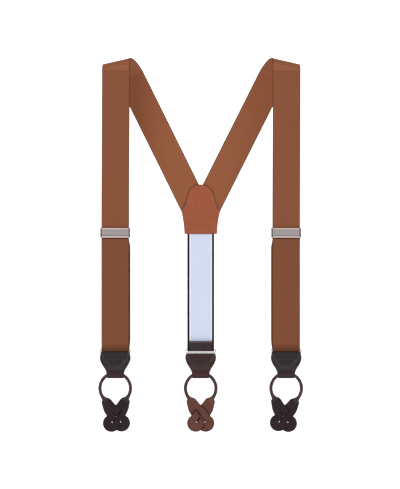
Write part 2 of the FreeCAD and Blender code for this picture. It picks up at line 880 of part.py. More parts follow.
# the slot's round ends need a little less than the whole of the tab's width
SLOT_TRIM = f"({PASS_HALF} / 5)"


def flat_tab(end):
    """The tab that lies flat, with its buttonhole spread open by the other tab."""
    body = new_body(f"{end.name}_slotted_tab")
    sketch = new_sketch(body)
    tab_outline(sketch, 1)
    pad(body, sketch, "tab_thickness")
    tab_slot(body, 1, "0", CROSSING, "buttonhole_slit")
    reach = f"({PASS_LENGTH} - {SLOT_TRIM})"
    tab_slot(body, 1, f"{CROSSING} - {reach}", f"{CROSSING} + {reach}", f"2 * {PASS_HALF}")
    button_hole(body, 1)
    end.hang(body)


def passing_tab(end):
    """The tab that starts in front, goes through the other one's buttonhole and ends behind."""
    body = new_body(f"{end.name}_passing_tab")
    section = new_sketch(
        body,
        "XY_Plane",
        ("0", "0", f"-lobe_drop + {CROSSING} * {TAB_COS}"),
        (Vector(0, 1, 0), TAB_ANGLE),
    )
    run = f"({TAB_STEP} / {PASS_TAN})"
    reach = "2 * lobe_radius + lobe_offset"
    half = "tab_thickness / 2"
    outline(
        section,
        [
            (f"-({reach})", f"-{TAB_STEP} - {half}"),
            (f"-{run} + {PASS_MITRE}", f"-{TAB_STEP} - {half}"),
            (f"{run} + {PASS_MITRE}", f"{TAB_STEP} - {half}"),
            (reach, f"{TAB_STEP} - {half}"),
            (reach, f"{TAB_STEP} + {half}"),
            (f"{run} - {PASS_MITRE}", f"{TAB_STEP} + {half}"),
            (f"-{run} - {PASS_MITRE}", f"-{TAB_STEP} + {half}"),
            (f"-({reach})", f"-{TAB_STEP} + {half}"),
        ],
    )
    pad(body, section, "4 * lobe_drop")
    trim = new_sketch(body)
    rectangle(trim, "-3 * lobe_drop", "3 * lobe_drop", "-4 * lobe_drop", "4 * lobe_drop")
    tab_outline(trim, -1)
    cut_through(body, trim)
    tab_slot(body, -1, "0", SLIT_TOP, "buttonhole_slit")
    button_hole(body, -1)
    end.hang(body)


# ---------------------------------------------------------------- assembly

for name, side in (("left", -1), ("right", 1)):
    shoulder_strap(f"shoulder_strap_{name}", side)
    adjuster_frame(f"adjuster_frame_{name}", side)
    adjuster_lever(f"adjuster_lever_{name}", side)
    rod(f"adjuster_pivot_rod_{name}", side, PIVOT_Y, PIVOT_Z, "pivot_radius")
    rod(f"adjuster_tail_bar_{name}", side, TAIL_Y, "0", "tail_bar_radius")
    strap_tail(f"strap_tail_{name}", side)
    tail_seam(f"strap_tail_stitching_{name}", side)
    layer_top = f"adjuster_z - {SEAM_Y} - soft_gap"
    layer_bottom = "bar_z + soft_gap"
    strap_layer(f"strap_front_layer_{name}", side, "strap_front_y", layer_top, layer_bottom)
    return_y = f"strap_front_y + {RETURN_Y}"
    strap_layer(f"strap_return_layer_{name}", side, return_y, layer_top, layer_bottom)
    strap_fold(f"strap_fold_{name}", side)

yoke_patch("yoke_inner_patch", -1)
yoke_patch("yoke_outer_patch", 1)
yoke_seam("yoke_stitching")
back_elastic("back_elastic")
elastic_hem("elastic_hem")
hem_seam("elastic_hem_stitching")

BACKWARDS = (Vector(0, 0, 1), "180")


def leaning(angle):
    return Vector(0, 1, 0), angle


half_spacing = "strap_spacing / 2"
ENDS = [
    End("front_left", f"-{half_spacing}", FRONT_BAR_Y, None, leaning("left_loop_lean"), False),
    End("front_right", half_spacing, FRONT_BAR_Y, None, leaning("right_loop_lean"), False),
    End("back", "0", BACK_BAR_Y, BACKWARDS, BACKWARDS, True),
]
for end in ENDS:
    ring(end)
    leather_layer(end, "leather_face", -1)
    leather_layer(end, "leather_backing", 1)
    end_seam(end)
    cord_part(end, "cord_cover", "cord_radius", "cord_bore_radius")
    cord_part(end, "cord_core", "cord_core_radius")
    flat_tab(end)
    passing_tab(end)

doc.recompute()

# ---------------------------------------------------------------- checks and files

for item in doc.Objects:
    if "Invalid" in item.State or "Error" in item.State:
        raise RuntimeError(f"{item.Label} did not build: {item.State}")

pieces = [item for item in doc.Objects if item.TypeId == "PartDesign::Body"]
for piece in pieces:
    if piece.Shape.isNull() or not piece.Shape.isValid() or not piece.Shape.Solids:
        raise RuntimeError(f"{piece.Label} has no sound solid")

os.makedirs("parts", exist_ok=True)
for piece in pieces:
    piece.Shape.exportStep(f"parts/{piece.Label}.step")
print(len(pieces), "pieces written")
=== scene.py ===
import json
import math

import bmesh
import bpy
import numpy as np
from bpy.props import FloatProperty, FloatVectorProperty, PointerProperty
from mathutils import Matrix, Vector, noise
from mathutils.geometry import delaunay_2d_cdt


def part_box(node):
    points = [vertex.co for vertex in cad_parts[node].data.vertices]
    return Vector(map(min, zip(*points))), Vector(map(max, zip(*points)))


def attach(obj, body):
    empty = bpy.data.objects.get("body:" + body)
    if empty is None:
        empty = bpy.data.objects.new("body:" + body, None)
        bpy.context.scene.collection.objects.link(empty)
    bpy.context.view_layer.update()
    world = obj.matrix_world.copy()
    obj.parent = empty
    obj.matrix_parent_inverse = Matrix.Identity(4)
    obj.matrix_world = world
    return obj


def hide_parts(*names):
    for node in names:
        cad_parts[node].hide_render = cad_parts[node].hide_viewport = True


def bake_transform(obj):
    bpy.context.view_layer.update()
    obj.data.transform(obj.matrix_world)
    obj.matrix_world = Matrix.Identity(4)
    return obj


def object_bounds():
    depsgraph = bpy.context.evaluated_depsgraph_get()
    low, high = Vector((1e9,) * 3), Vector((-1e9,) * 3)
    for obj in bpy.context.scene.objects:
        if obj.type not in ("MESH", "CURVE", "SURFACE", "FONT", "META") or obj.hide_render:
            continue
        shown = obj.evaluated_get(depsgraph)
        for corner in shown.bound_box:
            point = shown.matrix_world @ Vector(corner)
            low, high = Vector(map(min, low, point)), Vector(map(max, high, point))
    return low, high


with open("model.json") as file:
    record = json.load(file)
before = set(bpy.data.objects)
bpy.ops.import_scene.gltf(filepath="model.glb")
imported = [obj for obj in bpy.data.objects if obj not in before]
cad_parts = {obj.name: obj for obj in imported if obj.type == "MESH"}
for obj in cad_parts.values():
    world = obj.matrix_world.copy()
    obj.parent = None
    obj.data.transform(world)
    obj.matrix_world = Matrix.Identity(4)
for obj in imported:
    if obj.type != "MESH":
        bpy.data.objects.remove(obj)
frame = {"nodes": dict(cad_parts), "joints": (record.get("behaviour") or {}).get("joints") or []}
cad_low, cad_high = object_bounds()

bl_info = {
    "name": "Button-on suspenders",
    "version": (1, 0, 0),
    "blender": (4, 5, 0),
    "location": "3D View > Sidebar > Suspenders",
    "description": "Builds the webbing, leather and thread of a pair of suspenders",
    "category": "Object",
}

# ---------------------------------------------------------------- places taken from the frame

MM = 0.001
PIVOTS = {j["name"]: Vector(j["pos_m"]) for j in frame["joints"] if "pos_m" in j}
SIDES = {"left": -1, "right": 1}
ENDS = ("front_left", "front_right", "back")


def middle(node):
    low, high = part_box(node)
    return (low + high) / 2


def end_name(end):
    """The word that the joints use for a leather end."""
    return end.replace("front_", "")


BAR = {end: PIVOTS["end_swing_" + end_name(end)] for end in ENDS}
LOOP = {end: PIVOTS["loop_turn_" + end_name(end)] for end in ENDS}
FRONT_Y = middle("strap_front_layer_left").y
RETURN_Y = middle("strap_return_layer_left").y
BACK_Y = middle("back_elastic").y
ADJUSTER_Z = middle("adjuster_lever_left").z
STRAP_FOOT_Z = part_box("shoulder_strap_left")[0].z
LAYER_TOP_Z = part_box("strap_front_layer_left")[1].z
YOKE_LOW, YOKE_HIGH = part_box("yoke_outer_patch")
HEM_TOP_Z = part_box("elastic_hem")[1].z
ELASTIC_TOP_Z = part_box("back_elastic")[1].z


# ---------------------------------------------------------------- what a user would change


def length(name, description, default):
    return FloatProperty(
        name=name, description=description, default=default, unit="LENGTH", precision=5
    )


def angle(name, description, degrees):
    return FloatProperty(
        name=name, description=description, default=math.radians(degrees), subtype="ANGLE"
    )


def colour(name, description, default):
    return FloatVectorProperty(
        name=name, description=description, default=default, size=3, subtype="COLOR", min=0, max=1
    )


class WebbingSettings(bpy.types.PropertyGroup):
    width: length("Width", "Width of the shoulder webbing", 0.035)
    thickness: length("Thickness", "Thickness of the shoulder webbing", 0.0013)
    fold_tilt: angle("Fold tilt", "How far the shoulder fold climbs towards the neck", 13.25)
    front_bend: length("Front bend", "Radius of the bend at the top of the front", 0.008)
    crown: length("Crown", "Radius of the long curve over the shoulder", 0.060)
    crown_sweep: angle("Crown sweep", "Turn of the long curve over the shoulder", 42)
    back_bend: length("Back bend", "Radius of the bend at the top of the back", 0.012)
    rib: length("Rib", "Distance between the ribs of the weave", 0.0009)
    left_lean: length("Left lean", "How far the left front drifts in at the top", 0.0007)
    right_lean: length("Right lean", "How far the right front drifts in at the top", -0.0006)
    return_shift: length("Return shift", "How far the return stands out on the inner side", 0.0017)
    colour: colour("Colour", "Dyed webbing", (0.222, 0.0775, 0.0355))
    shade: colour("Shade", "Webbing between its ribs", (0.162, 0.0535, 0.0242))
    edge: colour("Edge", "Selvedge of the webbing", (0.026, 0.008, 0.004))


class ElasticSettings(bpy.types.PropertyGroup):
    width: length("Width", "Width of the elastic", 0.034)
    thickness: length("Thickness", "Thickness of the elastic", 0.0012)
    band: length("Band", "Width of each dark edge band", 0.0028)
    colour: colour("Colour", "Middle of the elastic", (0.545, 0.600, 0.745))
    line: colour("Line", "Line beside each dark band", (0.790, 0.790, 0.830))
    dark: colour("Dark", "Edge bands", (0.006, 0.004, 0.007))
    hem: colour("Hem", "Folded hem", (0.030, 0.0185, 0.0215))


class LeatherSettings(bpy.types.PropertyGroup):
    yoke: colour("Yoke", "Tan leather of the yoke", (0.288, 0.072, 0.030))
    front: colour("Front ends", "Brown leather of the front ends", (0.0135, 0.0085, 0.0095))
    back: colour("Back end", "Brown leather of the back end", (0.026, 0.0095, 0.0088))
    front_tabs: colour("Front tabs", "Grain side of the button tabs", (0.0165, 0.0085, 0.0105))
    suede: colour("Suede", "Flesh side of the button tabs", (0.105, 0.040, 0.030))
    cord: colour("Cord", "Rolled cord", (0.034, 0.0125, 0.013))
    paint: colour("Edge paint", "Painted edge of the brown leather", (0.004, 0.003, 0.004))
    thread: colour("Dark thread", "Thread of the leather ends", (0.300, 0.240, 0.245))
    tan_thread: colour("Tan thread", "Thread of the yoke and tails", (0.470, 0.185, 0.100))
    thickness: length("Thickness", "Thickness of one leather layer", 0.0017)
    tab_thickness: length("Tab thickness", "Thickness of a button tab", 0.0016)
    cord_radius: length("Cord radius", "Radius of the rolled cord", 0.0022)
    loop_radius: length("Loop radius", "Radius of the cord loop's middle line", 0.0193)


class MetalSettings(bpy.types.PropertyGroup):
    bright: colour("Bright", "Bright nickel of the rings", (0.86, 0.85, 0.84))
    satin: colour("Satin", "Satin nickel of the adjusters", (0.405, 0.360, 0.355))


class StageSettings(bpy.types.PropertyGroup):
    view_height: length("View height", "Height of the view at the object", 0.6179)
    camera_distance: length("Camera distance", "From the camera to the object", 2.6)
    camera_x: length("Camera side", "Camera's place across the object", -0.0009)
    camera_z: length("Camera height", "Camera's height in the object's frame", -0.2227)
    floor_drop: length("Floor drop", "From the lowest point of the object to the floor", 0.14)


SETTINGS = {
    "suspender_webbing": WebbingSettings,
    "suspender_elastic": ElasticSettings,
    "suspender_leather": LeatherSettings,
    "suspender_metal": MetalSettings,
    "suspender_stage": StageSettings,
}


# ---------------------------------------------------------------- shader sums


class Value:
    """A shader socket that takes part in Python sums."""

    def __init__(self, finish, socket):
        self.finish = finish
        self.socket = socket

    def sum(self, operation, *terms):
        return self.finish.add("ShaderNodeMath", {"operation": operation}, *terms)

    def __add__(self, other):
        return self.sum("ADD", self, other)

    def __radd__(self, other):
        return self.sum("ADD", other, self)

    def __sub__(self, other):
        return self.sum("SUBTRACT", self, other)

    def __rsub__(self, other):
        return self.sum("SUBTRACT", other, self)

    def __mul__(self, other):
        return self.sum("MULTIPLY", self, other)

    def __rmul__(self, other):
        return self.sum("MULTIPLY", other, self)

    def __truediv__(self, other):
        return self.sum("DIVIDE", self, other)

    def sine(self):
        return self.sum("SINE", self)

    def size(self):
        return self.sum("ABSOLUTE", self)

    def ramp(self, low, high):
        """0 below low, 1 above high and smooth between."""
        return self.finish.add(
            "ShaderNodeMapRange",
            {"interpolation_type": "SMOOTHSTEP"},
            self,
            low,
            high,
            0.0,
            1.0,
        )


class Finish:
    """A material under way: its nodes and the shader that they feed."""

    def __init__(self, name, fixed):
        self.material = bpy.data.materials.new(name)
        self.material.use_nodes = True
        self.tree = self.material.node_tree
        self.shader = next(n for n in self.tree.nodes if n.type == "BSDF_PRINCIPLED")
        for socket, value in fixed.items():
            self.shader.inputs[socket].default_value = value

    def feed(self, socket, value):
        if isinstance(value, Value):
            self.tree.links.new(value.socket, socket)
        elif socket.type == "RGBA":
            socket.default_value = (*value, 1.0)
        else:
            socket.default_value = value

    def add(self, kind, settings, *inputs, output=0, **named):
        node = self.tree.nodes.new(kind)
        for key, value in settings.items():
            setattr(node, key, value)
        for socket, value in zip([s for s in node.inputs if s.enabled], inputs):
            self.feed(socket, value)
        for key, value in named.items():
            self.feed(node.inputs[key], value)
        return Value(self, [s for s in node.outputs if s.enabled][output])

    def mix(self, factor, first, second):
        return self.add("ShaderNodeMix", {"data_type": "RGBA"}, factor, first, second)

    def place(self):
        """A point's place in the object's own frame."""
        return self.add("ShaderNodeTexCoord", {}, output=3)

    def cloth(self):
        """Millimetres across and along the cloth."""
        return self.split(self.add("ShaderNodeUVMap", {"uv_map": "cloth"}))[:2]

    def attribute(self, name):
        return self.add("ShaderNodeAttribute", {"attribute_name": name}, output=2)

    def grain(self, scale, detail=3.0, vector=None):
        vector = vector or self.place()
        return self.add("ShaderNodeTexNoise", {}, Vector=vector, Scale=scale, Detail=detail)

    def pebbles(self, scale):
        settings = {"feature": "SMOOTH_F1"}
        return self.add("ShaderNodeTexVoronoi", settings, Vector=self.place(), Scale=scale)

    def point(self, x, y):
        return self.add("ShaderNodeCombineXYZ", {}, x, y)

    def bump(self, height, strength, distance):
        return self.add(
            "ShaderNodeBump", {}, Strength=strength, Distance=distance, Height=height
        )

    def split(self, vector):
        """Across, along and up, as three numbers."""
        parts = self.add("ShaderNodeSeparateXYZ", {}, vector).socket.node.outputs
        return [Value(self, part) for part in parts]

    def end(self, **sockets):
        for name, value in sockets.items():
            self.feed(self.shader.inputs[name.replace("_", " ")], value)
        return self.material


TURN = 2 * math.pi


def shades(tone, *strengths):
    """A colour made weaker or stronger, once for each strength."""
    return [[min(c * strength, 1) for c in tone] for strength in strengths]


def webbing_finish(settings, name, strength, painted_fold_light=0.0, bar_at=None):
    """Ribbed webbing with long colour streaks and a darker selvedge. strength scales the dye, and
    below 1 it is painted shade over the whole piece. Light is painted over the shoulder fold and
    past it by the amount that follows strength, and shade is painted where it turns round a bar,
    bar_at millimetres along."""
    finish = Finish(name, {"Roughness": 0.85, "Specular IOR Level": 0.12, "Sheen Weight": 0.02})
    across, along = finish.cloth()
    pitch = settings.rib / MM
    rib = (along * (TURN / pitch)).sine() * 0.5 + 0.5
    warp = (across * (TURN / (pitch * 0.8)) + along * (math.pi / pitch)).sine() * 0.5 + 0.5
    weave = rib * 0.6 + warp * 0.4
    streak = finish.grain(1.0, 4.0, finish.point(across * 1.3, along * 0.05))
    cloud = finish.grain(1.0, 2.0, finish.point(across * 0.05, along * 0.03))
    tone = weave * 0.35 + streak * 0.35 + cloud * 0.3
    (shade,) = shades(settings.shade, strength)
    # pale is the lighter tone of the painted light over and past the fold
    lit, pale = shades(settings.colour, strength, 2 * strength)
    dye_and_painted_light = finish.mix(tone, shade, lit)
    if painted_fold_light:
        # painted highlight on the crest of the fold, and painted light down the back past it
        painted_crest_highlight = along.ramp(-8, 3) * (1 - along.ramp(12, 34))
        dye_and_painted_light = finish.mix((along.ramp(10, 60) + painted_crest_highlight) * painted_fold_light, dye_and_painted_light, pale)
    if bar_at:
        # painted shade where the strap turns round the ring's bar
        painted_bar_shade = 1 - (along - bar_at).size().ramp(2, 12)
        dye_and_painted_light = finish.mix(painted_bar_shade * 0.65, dye_and_painted_light, *shades(shade, 0.3))
    half = settings.width / MM / 2
    selvedge = across.size().ramp(half - 1.1, half - 0.3)
    dye_and_painted_light = finish.mix(selvedge * 0.85, dye_and_painted_light, tuple(settings.edge))
    return finish.end(Base_Color=dye_and_painted_light, Normal=finish.bump(weave + streak * 0.4, 0.35, 0.0002))


def elastic_finish(settings, name, middle_colour, line_colour):
    """Woven elastic: a plain middle, a fine line and a dark band at each edge."""
    finish = Finish(name, {"Roughness": 0.8, "Specular IOR Level": 0.2})
    across, along = finish.cloth()
    rib = (along * (TURN / 1.1)).sine() * 0.5 + 0.5
    warp = (across * (TURN / 0.9)).sine() * 0.5 + 0.5
    cloud = finish.grain(1.0, 3.0, finish.point(across * 0.25, along * 0.12))
    weave = rib * warp
    body = finish.mix(weave * 0.12 + cloud * 0.14, *shades(middle_colour, 1, 0.72))
    inner = settings.width / MM / 2 - settings.band / MM
    line = across.size().ramp(inner - 1.6, inner - 1.2)
    band = across.size().ramp(inner - 0.2, inner + 0.1)
    body = finish.mix(line * 0.8, body, line_colour)
    body = finish.mix(band, body, tuple(settings.dark))
    return finish.end(Base_Color=body, Normal=finish.bump(weave, 0.4, 0.00025))


def leather_finish(name, tone, paint, paint_width, roughness=0.42, grain=1100.0, end_marks=False):
    """Smooth leather with a fine grain, mottled dye and an edge that is painted or burnished.
    end_marks adds what a leather end shows: a painted cool sheen at the top, painted highlights
    on the ring's ridges with painted shadow below them, a greyer waist and a redder foot, a
    painted highlight, where it turns round the cord."""
    finish = Finish(name, {"Specular IOR Level": 0.22, "Coat Weight": 0.02, "Coat Roughness": 0.3})
    pebbles = finish.pebbles(grain)
    mottle = finish.grain(130.0, 4.0)
    fine = finish.grain(2600.0, 2.0)
    dye = finish.mix(mottle * 0.75 + fine * 0.2, *shades(tone, 0.66, 1.22))
    if end_marks:
        drop = finish.attribute("drop")
        waist = drop.ramp(18, 23) * (1 - drop.ramp(25.5, 28.5))
        # painted reddish highlight where the leather bulges round the cord
        foot = drop.ramp(26.5, 29) * (1 - drop.ramp(33, 34.5))
        # painted cool sheen at the top of the end
        painted_top_sheen = 1 - drop.ramp(5, 9)
        dye = finish.mix(painted_top_sheen * 0.35, dye, (tone[0] * 1.5, tone[1] * 1.9, tone[2] * 2.6))
        dye = finish.mix(waist * 0.55, dye, (tone[0] * 2.0, tone[1] * 2.5, tone[2] * 2.9))
        dye = finish.mix(foot * 0.6, dye, (tone[0] * 2.0, tone[1] * 0.9, tone[2] * 1.0))
        dye = finish.mix(drop.ramp(34.0, 34.6) * 0.9, dye, paint)
        # painted highlight along the ridge that the ring presses up
        painted_ridge_highlight = finish.attribute("painted_ridge_highlight")
        dye = finish.mix(painted_ridge_highlight * 0.6, dye, [c * 3.0 + 0.02 for c in tone])
        # painted shadow in the ditch below the ring's ridge
        painted_ditch_shadow = finish.attribute("painted_ditch_shadow")
        dye = finish.mix(painted_ditch_shadow * 0.7, dye, paint)
    rim = finish.attribute("rim") + mottle * 0.35
    painted = 1 - rim.ramp(paint_width * 0.8, paint_width * 1.2 + 0.3)
    dye = finish.mix(painted, dye, paint)
    gloss = roughness + mottle * 0.14 - painted * 0.08
    height = pebbles * 0.7 + fine * 0.3
    return finish.end(Base_Color=dye, Roughness=gloss, Normal=finish.bump(height, 0.28, 0.0002))


def tab_finish(name, settings, flesh_side):
    """A button tab: grain leather on one side, suede on the other and black paint round it."""
    finish = Finish(name, {"Specular IOR Level": 0.14})
    mottle = finish.grain(150.0, 4.0)
    nap = finish.grain(1500.0, 5.0)
    grain = finish.pebbles(1200.0)
    polished = finish.mix(mottle, *shades(settings.front_tabs, 0.7, 1.3))
    napped = finish.mix(nap * 0.5 + mottle * 0.5, *shades(settings.suede, 0.66, 1.3))
    suede = finish.attribute(flesh_side)
    dye = finish.mix(suede, polished, napped)
    painted = 1 - (finish.attribute("rim") + mottle * 0.3).ramp(0.75, 1.25)
    dye = finish.mix(painted * 0.95, dye, tuple(settings.paint))
    gloss = 0.38 + suede * 0.45 + mottle * 0.12
    height = grain * (1 - suede) + nap * suede * 0.6
    return finish.end(Base_Color=dye, Roughness=gloss, Normal=finish.bump(height, 0.3, 0.0002))


def cord_finish(name, settings, foot_tone):
    """Rolled leather cord: a spiral of lighter rubbed leather and a dark seam. It takes on
    foot_tone where it flattens into a tab."""
    finish = Finish(name, {"Specular IOR Level": 0.25, "Coat Weight": 0.03, "Coat Roughness": 0.3})
    mottle = finish.grain(260.0, 4.0)
    seam = finish.attribute("seam")
    rubbed = finish.mix(mottle, *shades(settings.cord, 0.5, 2.0))
    dye = finish.mix(seam, rubbed, tuple(settings.paint))
    dye = finish.mix(finish.attribute("foot"), dye, foot_tone)
    return finish.end(
        Base_Color=dye, Roughness=0.36 + mottle * 0.15, Normal=finish.bump(mottle, 0.2, 0.0002)
    )


def thread_finish(name, tone):
    """Waxed thread with the twist of its plies."""
    finish = Finish(name, {"Roughness": 0.5, "Sheen Weight": 0.1})
    across, along = finish.cloth()
    ply = (across * 2.0 + along * (TURN / 0.5)).sine() * 0.5 + 0.5
    dye = finish.mix(ply, *shades(tone, 0.5, 1))
    return finish.end(Base_Color=dye, Normal=finish.bump(ply, 0.4, 0.0001))


def nickel_finish(name, tone, roughness, brushed, lips=False):
    """Nickel plate: a fine brushed grain and rubbed patches. lips adds painted highlights on the
    edges above and below and painted shadow at both ends."""
    finish = Finish(name, {"Metallic": 1.0})
    place = finish.place()
    squeeze = (brushed, 40.0 * brushed, 40.0 * brushed)
    stretched = finish.add("ShaderNodeVectorMath", {"operation": "MULTIPLY"}, place, squeeze)
    scratches = finish.grain(30.0, 3.0, stretched)
    patches = finish.grain(220.0, 3.0)
    plate = finish.mix(patches * 0.6 + scratches * 0.4, *shades(tone, 0.82, 1))
    if lips:
        side, _, up = finish.split(finish.add("ShaderNodeTexCoord", {}, output=0))
        # painted highlights on the lips above and below
        edge = (up - 0.5).size().ramp(0.34, 0.44)
        plate = finish.mix(edge * 0.7, plate, (0.80, 0.74, 0.70))
        # painted shadow down both ends, where the frame's side arms fall in shade
        painted_end_shadow = (side - 0.5).size().ramp(0.462, 0.482)
        plate = finish.mix(painted_end_shadow * 0.9, plate, (0.025, 0.025, 0.028))
    gloss = roughness + scratches * 0.12 + patches * 0.08
    brush = finish.bump(scratches, 0.08, 0.0001)
    return finish.end(Base_Color=plate, Roughness=gloss, Normal=brush)


# ---------------------------------------------------------------- meshes


def new_piece(name, mesh, material, body, slot, *nodes):
    """Puts a mesh in the scene as a piece that rides on a body in place of its CAD nodes."""
    for polygon in mesh.polygons:
        # the cut ends of a band or a cord stay flat
        polygon.use_smooth = len(polygon.vertices) <= 4
    mesh.materials.append(material)
    piece = bpy.data.objects.new(name, mesh)
    bpy.context.scene.collection.objects.link(piece)
    if body:
        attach(piece, body)
    if nodes:
        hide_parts(*nodes)
    return piece


def mesh_from(name, points, faces, uvs=None, marks=None):
    """A mesh with outward faces, from points and faces. uvs holds a pair for each point and
    marks holds named numbers for each point."""
    mesh = bpy.data.meshes.new(name)
    mesh.from_pydata([tuple(p) for p in points], [], faces)
    if uvs is not None:
        layer = mesh.uv_layers.new(name="cloth")
        for loop in mesh.loops:
            layer.data[loop.index].uv = uvs[loop.vertex_index]
    for key, values in (marks or {}).items():
        mark = mesh.attributes.new(key, "FLOAT", "POINT")
        mark.data.foreach_set("value", np.asarray(values, np.float32))
    work = bmesh.new()
    work.from_mesh(mesh)
    bmesh.ops.recalc_face_normals(work, faces=work.faces)
    work.to_mesh(mesh)
    work.free()
    return mesh


class Track:
    """A line in a plane, made of runs. Each run is a length and the radius of its bend,
    positive for a left turn and 0 for a straight run. It goes on straight past both ends."""

    def __init__(self, start, heading, *runs):
        self.parts = []
        point, turn = Vector(start), heading
        distance = 0.0
        self.parts.append((-math.inf, point.copy(), turn, 0.0))
        for run, radius in runs:
            self.parts.append((distance, point.copy(), turn, radius))
            point, turn = self.walk(point, turn, radius, run)
            distance += run
        self.parts.append((distance, point.copy(), turn, 0.0))
        self.length = distance

    @staticmethod
    def walk(point, turn, radius, run):
        forward = Vector((math.cos(turn), math.sin(turn)))
        if not radius:
            return point + forward * run, turn
        sweep = run / radius
        left = Vector((-forward.y, forward.x))
        centre = point + left * radius
        after = turn + sweep
        return centre - Vector((-math.sin(after), math.cos(after))) * radius, after

    def at(self, distance):
        """The point at a distance and the direction to the left of the way there."""
        start, point, turn, radius = next(p for p in reversed(self.parts) if p[0] <= distance)
        if start == -math.inf:
            start = 0.0
        point, turn = self.walk(point, turn, radius, distance - start)
        return point, Vector((-math.sin(turn), math.cos(turn)))


def band_section(width, thickness, columns=16, edge_steps=4):
    """Places across a band and heights off its middle, once round it: a slightly raised
    selvedge and round edges."""
    half = width / 2
    radius = thickness / 2
    flat = np.linspace(-(half - radius), half - radius, columns)

    def height(across):
        rim = (abs(across) - (half - 3 * radius)) / (2 * radius)
        return radius * (1 + 0.10 * max(0.0, min(rim, 1.0)))

    top = [(a, height(a)) for a in flat]
    turns = [math.pi / 2 - math.pi * i / edge_steps for i in range(1, edge_steps)]
    right = [(half - radius + radius * math.cos(t), radius * math.sin(t)) for t in turns]
    bottom = [(a, -h) for a, h in reversed(top)]
    left = [(-a, -h) for a, h in right]
    return top + right + bottom + left


def tube_faces(rings, count, first=0):
    """The faces between rings of count points each, numbered from first, and one over each
    end."""
    faces = []
    end = first + (rings - 1) * count
    for start in range(first, end, count):
        for j in range(count):
            k = (j + 1) % count
            faces.append((start + j, start + k, start + count + k, start + count + j))
    return faces + [tuple(range(first, first + count)), tuple(range(end, end + count))]


def band_mesh(name, rows, place, width, thickness):
    """A closed band of cloth. place gives a point of its middle surface and the surface's
    normal there. A row is a distance along, or a function that gives one for a place across."""
    section = band_section(width, thickness)
    points, uvs = [], []
    for row in rows:
        for across, height in section:
            along = row(across) if callable(row) else row
            spot, normal = place(across, along)
            points.append(spot + normal * height)
            uvs.append((across / MM, along / MM))
    return mesh_from(name, points, tube_faces(len(rows), len(section)), uvs)


def steps(start, end, pitch):
    return list(np.linspace(start, end, max(2, int(abs(end - start) / pitch) + 1)))


def smooth(value, low, high):
    t = max(0.0, min((value - low) / (high - low), 1.0))
    return t * t * (3 - 2 * t)


def ripple(point, scale, size):
    """A small smooth unevenness, the same each time."""
    return noise.noise(Vector(point) * scale) * size


def curve_through(points, pitch, closed=True, corners=()):
    """A smooth line through points in a plane, evenly divided. It turns sharply at corners."""
    count = len(points)
    result = []
    last = count if closed else count - 1
    for i in range(last):
        a, b = Vector(points[i]), Vector(points[(i + 1) % count])
        before = Vector(points[i - 1]) if closed or i else a
        after = Vector(points[(i + 2) % count]) if closed or i + 2 < count else b
        chord = b - a
        out = chord if i in corners else (b - before) / 2
        into = chord if (i + 1) % count in corners else (after - a) / 2
        out = out.normalized() * chord.length
        into = into.normalized() * chord.length
        for t in np.linspace(0, 1, max(2, int(chord.length / pitch) + 1), endpoint=False):
            result.append(
                a * (2 * t**3 - 3 * t**2 + 1)
                + out * (t**3 - 2 * t**2 + t)
                + b * (-2 * t**3 + 3 * t**2)
                + into * (t**3 - t**2)
            )
    if not closed:
        result.append(Vector(points[-1]))
    return result


def gap_to(points, lines):
    """Each point's distance to the nearest of some closed lines."""
    nearest = np.full(len(points), np.inf)
    for line in lines:
        a = np.array([tuple(p) for p in line])
        run = np.roll(a, -1, axis=0) - a
        size = np.maximum((run**2).sum(1), 1e-18)
        for start in range(0, len(points), 2000):
            part = points[start : start + 2000]
            off = part[:, None, :] - a[None]
            t = np.clip((off * run).sum(2) / size, 0, 1)
            away = np.sqrt(((off - t[..., None] * run) ** 2).sum(2)).min(1)
            nearest[start : start + 2000] = np.minimum(nearest[start : start + 2000], away)
    return nearest


def inside(points, lines):
    """Whether each point is inside the first line and outside the others."""
    odd = np.zeros(len(points), bool)
    for line in lines:
        a = np.array([tuple(p) for p in line])
        b = np.roll(a, -1, axis=0)
        for (ax, ay), (bx, by) in zip(a, b):
            if ay == by:
                continue
            crosses = (points[:, 1] < ay) != (points[:, 1] < by)
            at = ax + (points[:, 1] - ay) / (by - ay) * (bx - ax)
            odd ^= crosses & (points[:, 0] < at)
    return odd


